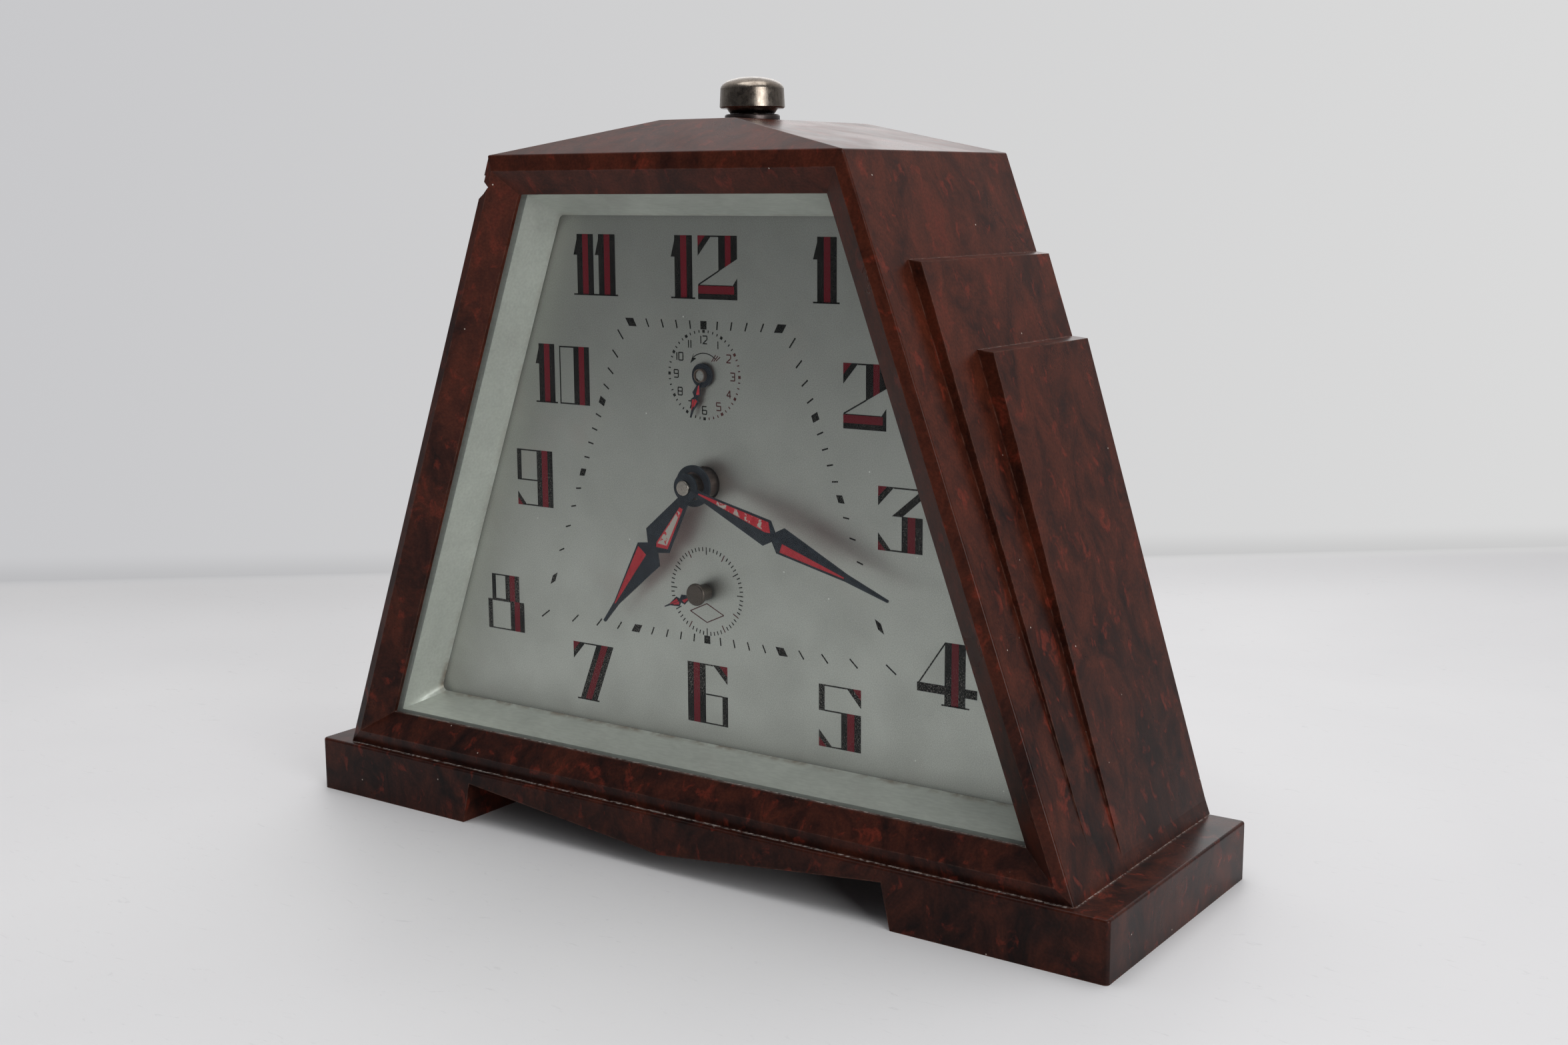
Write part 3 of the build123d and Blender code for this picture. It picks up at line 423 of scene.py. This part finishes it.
def metal(
    name, dark, light, rough=(0.22, 0.42), scratch=0.5, corner_colour=None, stretch=EVEN, relief=0.004
):
    """Bare or plated metal: tone and gloss vary, scratches follow stretch, edges are lighter from
    rubbing and a painted highlight, and inner corners turn to a darker colour.
    """
    g = Graph(name, Metallic=1.0)
    cloud = g.noise(0.25, 5.0, 0.6, 0.4)
    brushed = g.noise(2.4, 4.0, 0.65, 0.1, stretch=stretch)
    tone = g.math(
        "ADD", g.math("MULTIPLY", cloud, 1.0 - scratch), g.math("MULTIPLY", brushed, scratch)
    )
    colour = g.ramp(tone, ((0.32, dark), (0.68, light)))
    # Edges are lighter: partly rubbed wear, partly a painted highlight.
    rubbed_and_highlit_edges = g.math("MULTIPLY", g.edges(0.30), 0.45)
    colour = g.mix(rubbed_and_highlit_edges, colour, tuple(min(1.0, c * 1.35) for c in light))
    # Inner corners are darkened towards corner_colour through an occlusion mask.
    if corner_colour:
        uneven = g.fade(g.noise(0.7, 4.0), 0.30, 0.60, 0.45, 1.0)
        corner_mask = g.math("MULTIPLY", g.corners(1.2, 0.45, 0.85), uneven)
        colour = g.mix(corner_mask, colour, corner_colour)
    g.set("Base Color", colour)
    g.set("Roughness", g.fade(g.noise(0.9, 5.0, 0.65), 0.3, 0.7, *rough))
    g.set("Normal", g.bump(brushed, relief, 0.6))
    return g.material


# Stretches that draw scratches out along an axis
UPRIGHT = (1.0, 1.0, 0.12)
DEEP = (1.0, 0.12, 1.0)

bakelite_material = bakelite()
dial_material = dial_silver()
black_ink = printing_ink("black_ink", (0.0045, 0.0048, 0.0050), (0.240, 0.215, 0.200))
red_ink = printing_ink("red_ink", (0.165, 0.0090, 0.0180), (0.240, 0.090, 0.092))
faded_ink = printing_ink("faded_ink", (0.090, 0.028, 0.028), (0.200, 0.140, 0.130))

wear(["case"], bakelite_material)
wear(["glass"], clear_glass())
wear(["reflector"], reflector_paint())
wear(["dial"], dial_material)
wear(
    ["minute_hand"],
    hand_enamel("minute_enamel", CENTRE, MINUTE_ANGLE, MINUTE_RED, MINUTE_PALE),
)
wear(
    ["hour_hand"],
    hand_enamel("hour_enamel", CENTRE, HOUR_ANGLE, HOUR_RED, HOUR_PALE, bare_from=0.40),
)
wear(
    ["seconds_hand"],
    hand_enamel(
        "seconds_enamel", SECONDS, SECONDS_ANGLE, SMALL_RED, hub=(2.2, (0.110, 0.088, 0.076))
    ),
)
wear(
    ["alarm_hand"],
    hand_enamel("alarm_enamel", ALARM, ALARM_ANGLE, SMALL_RED, hub=(1.25, (0.20, 0.145, 0.12))),
)

knob_nickel = metal(
    "knob_nickel", (0.13, 0.105, 0.085), (0.33, 0.29, 0.245), (0.20, 0.34), 0.45,
    corner_colour=(0.045, 0.036, 0.030), stretch=UPRIGHT,
)
dark_nickel = metal(
    "dark_nickel", (0.045, 0.036, 0.034), (0.120, 0.100, 0.095), (0.30, 0.48), 0.4,
    corner_colour=(0.020, 0.015, 0.014), stretch=UPRIGHT,
)
nut_nickel = metal("nut_nickel", (0.22, 0.19, 0.17), (0.44, 0.39, 0.35), (0.16, 0.30), 0.4)
key_nickel = metal(
    "key_nickel", (0.36, 0.33, 0.29), (0.60, 0.57, 0.52), (0.18, 0.34), 0.5,
    corner_colour=(0.10, 0.08, 0.06), stretch=DEEP,
)
hub_bronze = metal(
    "hub_bronze", (0.055, 0.034, 0.028), (0.21, 0.125, 0.080), (0.28, 0.42), 0.5, stretch=DEEP
)
pipe_bronze = metal(
    "pipe_bronze", (0.10, 0.066, 0.060), (0.21, 0.150, 0.135), (0.30, 0.45), 0.5, stretch=DEEP
)
brass = metal(
    "brass", (0.40, 0.27, 0.10), (0.66, 0.48, 0.20), (0.22, 0.36), 0.55,
    corner_colour=(0.14, 0.08, 0.03), stretch=DEEP,
)
plate_brass = metal(
    "plate_brass", (0.44, 0.31, 0.13), (0.62, 0.46, 0.21), (0.28, 0.44), 0.6,
    corner_colour=(0.16, 0.10, 0.05), stretch=(0.15, 1.0, 1.0),
)
steel = metal(
    "steel", (0.30, 0.30, 0.29), (0.50, 0.50, 0.48), (0.24, 0.40), 0.5,
    corner_colour=(0.10, 0.07, 0.05), stretch=DEEP,
)
bell_steel = metal(
    "bell_steel", (0.34, 0.34, 0.33), (0.56, 0.56, 0.54), (0.16, 0.30), 0.4, stretch=DEEP
)
spring_blue = metal("spring_blue", (0.07, 0.09, 0.16), (0.16, 0.20, 0.33), (0.20, 0.34), 0.4)
cover_steel = metal(
    "cover_steel", (0.24, 0.23, 0.21), (0.40, 0.385, 0.355), (0.30, 0.48), 0.55,
    corner_colour=(0.10, 0.065, 0.040), stretch=(0.12, 1.0, 1.0), relief=0.008,
)

wear(["stop_knob"], knob_nickel)
wear(["knob_collar"], dark_nickel)
wear(["hand_nut"], nut_nickel)
wear(["time_key", "alarm_key", "time_set_knob", "alarm_set_knob", "cover_screws"], key_nickel)
wear(["cannon_pinion"], hub_bronze)
wear(["hour_wheel"], pipe_bronze)
wear(["front_plate", "back_plate", "cover_posts", "regulator"], plate_brass)
wear(
    [
        "minute_wheel", "alarm_wheel", "centre_wheel", "third_wheel", "fourth_wheel", "escape_wheel",
        "time_great_wheel", "alarm_great_wheel", "alarm_escape_wheel", "balance_wheel",
    ],
    brass,
)
wear(["bell"], bell_steel)
wear(["time_mainspring", "alarm_mainspring", "hairspring"], spring_blue)
wear(["back_cover"], cover_steel)
wear(
    [
        "centre_arbor", "alarm_arbor", "plate_pillars", "pillar_nuts", "motion_stud",
        "time_winding_arbor", "alarm_winding_arbor", "time_ratchet", "alarm_ratchet", "time_click",
        "alarm_click", "click_studs", "pallet_fork", "alarm_hammer", "stop_lever", "stem_clip",
    ],
    steel,
)


# ---------------------------------------------------------------- printed dial

INK_THICKNESS = 0.02
HAIR = 0.27
DIGIT_HEIGHT = 11.45
CORNER_RED_SHARE = 0.56

# Patches of each ink, as outlines of (x, z) corners in mm
black = []
red = []
faded = []


def patch(ink, *corners):
    """Flat patch of ink with the given corners, (x, z) in mm."""
    ink.append(corners)


def bar(ink, x0, x1, z0, z1):
    patch(ink, (x0, z0), (x1, z0), (x1, z1), (x0, z1))


def rule(ink, start, end, width):
    """Straight stroke of ink."""
    ahead = (Vector(end) - Vector(start)).normalized() * (width / 2)
    across = Vector((-ahead.y, ahead.x))
    outline = (
        Vector(start) - across,
        Vector(end) - across,
        Vector(end) + across,
        Vector(start) + across,
    )
    patch(ink, *[tuple(point) for point in outline])


def striped(x0, x1, z0, z1, lean=0.0, shares=(0.34, 0.34, 0.32)):
    """Upright stroke in black, red and black; its top is moved sideways by lean."""
    left = x0
    for ink, share in zip((black, red, black), shares):
        right = left + (x1 - x0) * share
        patch(ink, (left, z0), (right, z0), (right + lean, z1), (left + lean, z1))
        left = right


def corner(x, z, dx, dz):
    """Filled corner: red in the angle, black along the slope."""
    share = CORNER_RED_SHARE
    patch(red, (x, z), (x + dx * share, z), (x, z + dz * share))
    patch(black, (x + dx * share, z), (x + dx, z), (x, z + dz), (x, z + dz * share))


# The large figures, each from its own lower left corner at (x, z)


def digit_1(x, z):
    striped(x, x + 4.05, z, z + DIGIT_HEIGHT)
    bar(black, x - 0.9, x + 4.65, z - 0.02, z + HAIR)
    top = z + DIGIT_HEIGHT
    patch(black, (x - 0.87, top - 3.9), (x, top - 3.9), (x, top - 0.9))


def digit_2(x, z):
    top = z + DIGIT_HEIGHT
    corner(x, top, 3.1, -3.65)
    bar(black, x + 3.0, x + 4.7, top - HAIR, top)
    stem = x + 4.66
    left = stem
    for ink, width in ((black, 1.5), (red, 1.25), (black, 1.4)):
        right = left + width
        low = [z + 5.05 + (edge - stem) * 0.55 for edge in (left, right)]
        patch(ink, (left, low[0]), (right, low[1]), (right, top), (left, top))
        left = right
    rule(black, (x + 0.1, z + 2.6), (x + 4.7, z + 5.15), HAIR)
    bar(black, x, x + 8.8, z, z + 1.0)
    bar(red, x, x + 8.1, z + 1.0, z + 2.43)
    bar(black, x, x + 7.7, z + 2.43, z + 2.6)
    patch(
        black,
        (x + 8.1, z + 1.0),
        (x + 8.8, z + 1.0),
        (x + 8.8, z + 3.9),
        (x + 7.7, z + 2.43),
        (x + 8.1, z + 2.43),
    )


def digit_3(x, z):
    top = z + 11.3
    corner(x, top, 3.3, -3.45)
    bar(black, x + 3.2, x + 9.0, top - HAIR, top)
    patch(black, (x + 2.8, z + 6.2), (x + 4.9, z + 6.2), (x + 9.0, z + 9.7), (x + 9.0, top))
    striped(x + 4.8, x + 9.0, z, z + 6.3, shares=(0.29, 0.36, 0.35))
    corner(x, z, 2.8, 3.1)
    bar(black, x + 2.7, x + 4.8, z, z + HAIR)


def digit_4(x, z):
    bar(black, x, x + 5.5, z + 2.0, z + 3.6)
    bar(black, x + 9.6, x + 11.9, z + 2.0, z + 3.6)
    striped(x + 5.5, x + 9.6, z, z + 11.3, shares=(0.33, 0.34, 0.33))
    bar(black, x + 4.9, x + 10.4, z, z + HAIR)
    rule(black, (x + 0.35, z + 3.5), (x + 5.55, z + 11.1), HAIR)


def digit_5(x, z):
    top = z + 11.6
    bar(black, x, x + 1.25, z + 6.7, top)
    bar(black, x + 1.25, x + 6.0, top - HAIR, top)
    corner(x + 9.0, top, -3.1, -3.4)
    bar(black, x + 1.25, x + 4.8, z + 6.65, z + 6.65 + HAIR)
    striped(x + 4.8, x + 9.0, z, z + 6.9, shares=(0.31, 0.36, 0.33))
    corner(x, z, 3.0, 3.15)
    bar(black, x + 2.9, x + 4.8, z, z + HAIR)


def digit_6(x, z):
    top = z + 11.6
    striped(x, x + 4.25, z, top)
    bar(black, x + 4.25, x + 6.1, top - HAIR, top)
    corner(x + 9.35, top, -3.35, -3.4)
    bar(black, x + 4.25, x + 8.15, z + 5.6, z + 5.6 + HAIR)
    bar(black, x + 8.15, x + 9.42, z, z + 5.8)
    bar(black, x + 4.25, x + 8.2, z, z + HAIR)


def digit_7(x, z):
    top = z + 11.55
    corner(x, top, 3.1, -3.45)
    bar(black, x + 3.0, x + 6.0, top - HAIR, top)
    striped(x + 1.5, x + 5.75, z, top, lean=4.5, shares=(0.30, 0.37, 0.33))
    bar(black, x + 0.8, x + 6.4, z - 0.02, z + HAIR)


def digit_8(x, z):
    for left, right, low, high, post in ((1.2, 8.6, 6.1, 11.4, 1.04), (0.0, 9.8, 0.0, 6.1, 1.17)):
        bar_left = right - 3.75
        bar(black, x + left, x + left + post, z + low, z + high)
        bar(black, x + left + post, x + bar_left, z + low, z + low + HAIR)
        bar(black, x + left + post, x + bar_left, z + high - HAIR, z + high)
        striped(x + bar_left, x + right, z + low, z + high, shares=(0.31, 0.37, 0.32))


def digit_9(x, z):
    top = z + 11.2
    bar(black, x, x + 1.1, z + 5.0, top)
    bar(black, x + 1.1, x + 5.2, top - HAIR, top)
    bar(black, x + 1.1, x + 5.2, z + 5.0, z + 5.0 + HAIR)
    striped(x + 5.2, x + 9.3, z, top, shares=(0.32, 0.36, 0.32))
    corner(x, z, 2.4, 2.7)
    bar(black, x + 2.3, x + 5.2, z, z + HAIR)


def digit_0(x, z):
    top = z + DIGIT_HEIGHT - 0.25
    bar(black, x, x + HAIR, z, top)
    bar(black, x + HAIR, x + 3.6, z, z + HAIR)
    bar(black, x + HAIR, x + 3.6, top - HAIR, top)
    striped(x + 3.6, x + 7.5, z, top, shares=(0.34, 0.34, 0.32))


# Each figure with its lower left corner, (x, z) in mm, clockwise from twelve
HOUR_FIGURES = (
    (digit_1, -6.46, 104.3),
    (digit_2, -1.12, 104.3),
    (digit_1, 24.9, 104.3),
    (digit_2, 30.3, 82.8),
    (digit_3, 37.5, 62.0),
    (digit_4, 45.6, 36.0),
    (digit_5, 25.1, 24.6),
    (digit_6, -4.75, 24.6),
    (digit_7, -33.2, 24.7),
    (digit_8, -55.9, 36.1),
    (digit_9, -46.8, 62.4),
    (digit_1, -40.3, 83.2),
    (digit_0, -35.0, 83.2),
    (digit_1, -29.9, 104.3),
    (digit_1, -24.6, 104.3),
)

# Minute track: a trapezoid round TRACK_CENTRE, crossed by rays at the true minute angles.
# Its top, bottom and sides lie these distances from the centre, and TRACK_SLOPE is how far
# the sides lean in for each millimetre up. BAND_ values are half the band's width.
TRACK_CENTRE = (0.0, 70.2)
TRACK_TOP = 29.4
TRACK_BOTTOM = 29.3
TRACK_SIDE = 29.7
TRACK_SLOPE = 0.374
BAND_LEVEL = 0.76
BAND_SIDE = 0.64
# Half the angle of a five-minute block, in degrees, and the longest that it may be in mm
FIVE_MINUTE_HALF = 1.35
FIVE_MINUTE_LONGEST = 1.95
TICK_WIDTH = 0.28


def track_point(angle):
    """Where the ray at a clockwise angle crosses the track, and half the band along the ray."""
    a = math.radians(angle)
    sine, cosine = math.sin(a), math.cos(a)
    reach = TRACK_SIDE / max(1e-6, abs(sine) + TRACK_SLOPE * cosine)
    half = BAND_SIDE / max(1e-6, abs(sine))
    for level, rise in ((TRACK_TOP, cosine), (TRACK_BOTTOM, -cosine)):
        if rise > 0 and level / rise < reach:
            reach = level / rise
            half = BAND_LEVEL / rise
    return reach, half


def five_minute_block(angle, half):
    """Outline of the heavy mark at an angle; its sides lie along rays."""
    start, end = [
        Vector(around(TRACK_CENTRE, side_angle, track_point(side_angle)[0]))
        for side_angle in (angle - FIVE_MINUTE_HALF, angle + FIVE_MINUTE_HALF)
    ]
    half_angle = FIVE_MINUTE_HALF * min(1.0, FIVE_MINUTE_LONGEST / (end - start).length)
    outline = []
    for sense in (-1, 1):
        side_angle = angle + sense * half_angle
        side_reach = track_point(side_angle)[0]
        side = [around(TRACK_CENTRE, side_angle, side_reach + step) for step in (-half, half)]
        outline += side if sense < 0 else side[::-1]
    return outline


def minute_track():
    for minute in range(60):
        angle = minute * 6.0
        reach, half = track_point(angle)
        if minute % 5 == 0:
            patch(black, *five_minute_block(angle, half))
        else:
            inner = around(TRACK_CENTRE, angle, reach - half)
            rule(black, inner, around(TRACK_CENTRE, angle, reach + half), TICK_WIDTH)


# Thin figures of the alarm's dial, drawn as strokes in a box one unit wide and high
STROKES = {
    "0": ((0, 0), (1, 0), (1, 1), (0, 1), (0, 0)),
    "1": ((0.5, 0), (0.5, 1)),
    "2": ((0, 1), (1, 1), (1, 0.55), (0, 0), (1, 0)),
    "3": ((0, 1), (1, 1), (1, 0.5), (0.35, 0.5), (1, 0.5), (1, 0), (0, 0)),
    "4": ((0.75, 0), (0.75, 1), (0, 0.3), (1, 0.3)),
    "5": ((1, 1), (0, 1), (0, 0.55), (1, 0.55), (1, 0), (0, 0)),
    "6": ((1, 1), (0, 1), (0, 0), (1, 0), (1, 0.5), (0, 0.5)),
    "7": ((0, 1), (1, 1), (0.4, 0)),
    "8": ((0, 0), (1, 0), (1, 1), (0, 1), (0, 0), (0, 0.5), (1, 0.5)),
    "9": ((1, 0.5), (0, 0.5), (0, 1), (1, 1), (1, 0), (0, 0)),
}
SMALL_HEIGHT = 1.4
SMALL_WIDTH = 0.95
SMALL_GAP = 0.35
SMALL_ONE_WIDTH = 0.2
SMALL_STROKE = 0.21

ALARM_FIGURE_RADIUS = 6.45
ALARM_RING = 8.0
# Length and width of a mark
ALARM_HOUR_MARK = (0.54, 0.55)
ALARM_QUARTER_MARK = (0.48, 0.20)
ALARM_ARC_RADIUS = 4.0
ALARM_FINE_STROKE = 0.17

SECONDS_RING = 8.4
SECONDS_LONG_TICK = 1.4
SECONDS_SHORT_TICK = 0.75
SECONDS_STROKE = 0.20
SECONDS_WORN = (5, 20, 25, 35, 55)
DIAMOND = ((0.0, 47.8), (3.9, 46.0), (0.0, 44.2), (-3.9, 46.0))
DIAMOND_STROKE = 0.19


def small_number(ink, number, place):
    """Thin number centred on place."""
    widths = [SMALL_ONE_WIDTH if figure == "1" else SMALL_WIDTH for figure in str(number)]
    left = place[0] - (sum(widths) + SMALL_GAP * (len(widths) - 1)) / 2
    for figure, width in zip(str(number), widths):
        points = [
            (left + px * width, place[1] + (pz - 0.5) * SMALL_HEIGHT) for px, pz in STROKES[figure]
        ]
        for start, end in zip(points, points[1:]):
            rule(ink, start, end, SMALL_STROKE)
        left += width + SMALL_GAP


def ring_mark(ink, angle, length, width):
    """Mark across the ring of the alarm's dial."""
    inner = around(ALARM, angle, ALARM_RING - length / 2)
    rule(ink, inner, around(ALARM, angle, ALARM_RING + length / 2), width)


def alarm_dial():
    for hour in range(1, 13):
        ink = faded if 1 < hour < 6 else black
        angle = hour * 30.0
        small_number(ink, hour, around(ALARM, angle, ALARM_FIGURE_RADIUS))
        ring_mark(ink, angle, *ALARM_HOUR_MARK)
        for quarter in (7.5, 15.0, 22.5):
            ring_mark(ink, angle + quarter, *ALARM_QUARTER_MARK)
    # An arc over the arbor, ending in an arrow head on the left and short dashes on the right
    arc = [around(ALARM, angle, ALARM_ARC_RADIUS) for angle in range(-36, 41, 4)]
    for start, end in zip(arc, arc[1:]):
        rule(black, start, end, ALARM_FINE_STROKE)
    x, z = ALARM
    patch(black, (x - 3.15, z + 2.05), (x - 1.75, z + 3.0), (x - 2.45, z + 3.15), (x - 2.35, z + 3.9))
    for step in (0.0, 0.5, 1.0):
        start = (x + 1.75 + step, z + 2.55 + step * 0.15)
        end = (start[0] + 0.95, start[1] + 1.25 - step * 0.5)
        rule(faded, start, end, ALARM_FINE_STROKE)


def seconds_dial():
    for second in range(60):
        length = SECONDS_LONG_TICK if second % 5 == 0 else SECONDS_SHORT_TICK
        ink = faded if second in SECONDS_WORN else black
        angle = second * 6.0
        inner = around(SECONDS, angle, SECONDS_RING - length)
        rule(ink, inner, around(SECONDS, angle, SECONDS_RING), SECONDS_STROKE)
    for start, end in zip(DIAMOND, DIAMOND[1:] + DIAMOND[:1]):
        rule(faded, start, end, DIAMOND_STROKE)


def print_piece(name, patches, material):
    """One closed mesh per ink: each patch is a thin plate that stands on the dial."""
    mesh = bmesh.new()
    front = DIAL_FRONT - INK_THICKNESS * MM
    for corners in patches:
        # Signed area, so that every outline runs the same way round
        turn = sum(
            (b[0] - a[0]) * (b[1] + a[1]) for a, b in zip(corners, corners[1:] + corners[:1])
        )
        points = corners if turn < 0 else corners[::-1]
        outer = [mesh.verts.new((x * MM, front, z * MM)) for x, z in points]
        inner = [mesh.verts.new((x * MM, DIAL_FRONT, z * MM)) for x, z in points]
        mesh.faces.new(outer)
        mesh.faces.new(inner[::-1])
        for index in range(len(points)):
            after = (index + 1) % len(points)
            mesh.faces.new((outer[after], outer[index], inner[index], inner[after]))
    data = bpy.data.meshes.new(name)
    mesh.to_mesh(data)
    mesh.free()
    piece = bpy.data.objects.new(name, data)
    bpy.context.scene.collection.objects.link(piece)
    data.materials.append(material)
    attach(piece, "clock_case")


for draw, figure_x, figure_z in HOUR_FIGURES:
    draw(figure_x, figure_z)
minute_track()
alarm_dial()
seconds_dial()
print_piece("dial_print_black", black, black_ink)
print_piece("dial_print_red", red, red_ink)
print_piece("dial_print_faded", faded, faded_ink)


# ---------------------------------------------------------------- stage, light and camera

CAMERA_PLACE = Vector((0.20753, -0.29273, 0.12366))
CAMERA_RIGHT = Vector((0.82093, 0.57101, -0.00484))
CAMERA_UP = Vector((-0.09557, 0.14574, 0.98470))
CAMERA_BACK = Vector((0.56298, -0.80790, 0.17421))

CAMERA_LENS = 43.11
SENSOR_WIDTH = 36.0

BLACK = (0.0, 0.0, 0.0)
TABLE_TONES = ((0.3, (0.63, 0.63, 0.64)), (0.7, (0.69, 0.69, 0.695)))
TABLE_SCRATCH = (0.44, 0.44, 0.45)

# The wall starts WALL_START millimetres along WALL_NORMAL on the ground
WALL_NORMAL = (-0.643, 0.766, 0.0)
WALL_START = 252.0
WALL_BLUR = 8.0
WALL_STOPS = (
    (0.10, (0.575, 0.575, 0.590)),
    (0.50, (0.640, 0.640, 0.645)),
    (0.90, (0.705, 0.705, 0.705)),
)


def wall_tone(g, direction):
    """Tone of the pale wall, which brightens from left to right of the first view."""
    across = g.vector("DOT_PRODUCT", g.vector("NORMALIZE", direction), tuple(CAMERA_RIGHT))
    return g.ramp(g.math("ADD", across, 0.5), WALL_STOPS)


def floor_material():
    """Pale scratched table top with painted shade along the foot of the wall; beyond the foot of the
    wall it glows in the wall's tone.
    """
    g = Graph("pale_table", IOR=1.33)
    cloud = g.noise(0.006, 4.0, 0.5, 0.3)
    scratches = g.fade(g.noise(0.20, 8.0, 0.7, 2.5, stretch=(0.5, 1.6, 1.0)), 0.60, 0.70)
    tone = g.ramp(cloud, TABLE_TONES)
    marked = g.mix(g.math("MULTIPLY", scratches, 0.30), tone, TABLE_SCRATCH)
    reach = g.vector("DOT_PRODUCT", g.place(), WALL_NORMAL)
    wall = g.fade(reach, WALL_START - WALL_BLUR, WALL_START + WALL_BLUR)
    # Painted shade along the foot of the wall: the wall's glow is dimmer at its foot, and the table
    # darkens a little as it nears the wall.
    foot = g.fade(reach, WALL_START, WALL_START + 55.0, 0.85, 1.0)
    near_wall = g.fade(reach, WALL_START - 80.0, WALL_START - 5.0, 0.0, 0.10)
    shaded = g.mix(near_wall, marked, BLACK)
    g.set("Base Color", g.mix(wall, shaded, BLACK))
    g.set("Specular IOR Level", g.math("MULTIPLY", g.math("SUBTRACT", 1.0, wall), 0.5))
    from_camera = g.vector("SUBTRACT", g.place(), tuple(CAMERA_PLACE / MM))
    g.set("Emission Color", wall_tone(g, from_camera))
    g.set("Emission Strength", g.math("MULTIPLY", wall, foot))
    g.set("Roughness", 0.5)
    g.set("Normal", g.bump(g.noise(0.05, 5.0, 0.6), 0.05, 0.15))
    return g.material


def stage_plane(name, corners, material):
    data = bpy.data.meshes.new(name)
    data.from_pydata(corners, [], [(0, 1, 2, 3)])
    plane = bpy.data.objects.new(name, data)
    bpy.context.scene.collection.objects.link(plane)
    data.materials.append(material)


FLOOR_REACH = 12.0
stage_plane(
    "table_top",
    [(x * FLOOR_REACH, y * FLOOR_REACH, 0.0) for x, y in ((-1, -1), (1, -1), (1, 1), (-1, 1))],
    floor_material(),
)


def soft_light(name, position, target, size, power):
    """Rectangular white lamp that faces a target."""
    lamp = bpy.data.lights.new(name, "AREA")
    lamp.shape = "RECTANGLE"
    lamp.size, lamp.size_y = size
    lamp.energy = power
    holder = bpy.data.objects.new(name, lamp)
    bpy.context.scene.collection.objects.link(holder)
    holder.location = position
    holder.rotation_mode = "QUATERNION"
    holder.rotation_quaternion = (Vector(target) - Vector(position)).to_track_quat("-Z", "Y")


# Light of the room by direction: brightest up and behind on the left, dark in front
ROOM_AXIS = (-0.30, 0.60, 0.74)
ROOM_STOPS = (
    (0.38, (0.050, 0.050, 0.054)),
    (0.55, (0.140, 0.140, 0.148)),
    (0.74, (0.300, 0.300, 0.308)),
    (0.95, (0.900, 0.880, 0.880)),
)


class WorldGraph(Graph):
    """The same helpers on the node tree of a world."""

    def __init__(self, name):
        self.world = bpy.data.worlds.new(name)
        self.world.use_nodes = True
        self.tree = self.world.node_tree


def room_light():
    """Pale room with a dark side in front of the clock; in sight it is the plain wall."""
    g = WorldGraph("room")
    direction = g.node("ShaderNodeTexCoord").outputs["Generated"]
    towards = g.vector("DOT_PRODUCT", direction, ROOM_AXIS)
    from_0_to_1 = g.math("MULTIPLY", g.math("ADD", towards, 1.0), 0.5)
    light = g.ramp(from_0_to_1, ROOM_STOPS)
    in_sight = g.node("ShaderNodeLightPath").outputs["Is Camera Ray"]
    seen = g.mix(in_sight, light, wall_tone(g, direction))
    g.feed(g.tree.nodes["Background"].inputs["Color"], seen)
    bpy.context.scene.world = g.world


room_light()
soft_light("ceiling", (0.12, -0.10, 0.95), (0.08, -0.08, 0.0), (0.9, 0.8), 5.6)
soft_light("window", (-0.70, 1.21, 0.64), (0.0, 0.0, 0.12), (0.9, 0.55), 1.6)
soft_light("side_fill", (1.25, -0.50, 0.40), (0.0, 0.0, 0.05), (0.7, 0.7), 10.0)

camera_data = bpy.data.cameras.new("camera")
camera_data.lens = CAMERA_LENS
camera_data.sensor_width = SENSOR_WIDTH
camera_data.clip_start = 0.01
camera = bpy.data.objects.new("camera", camera_data)
bpy.context.scene.collection.objects.link(camera)
camera.matrix_world = Matrix.LocRotScale(
    CAMERA_PLACE,
    Matrix((CAMERA_RIGHT, CAMERA_UP, CAMERA_BACK)).transposed().to_quaternion(),
    None,
)
bpy.context.scene.camera = camera
bpy.context.scene.view_settings.view_transform = "Standard"
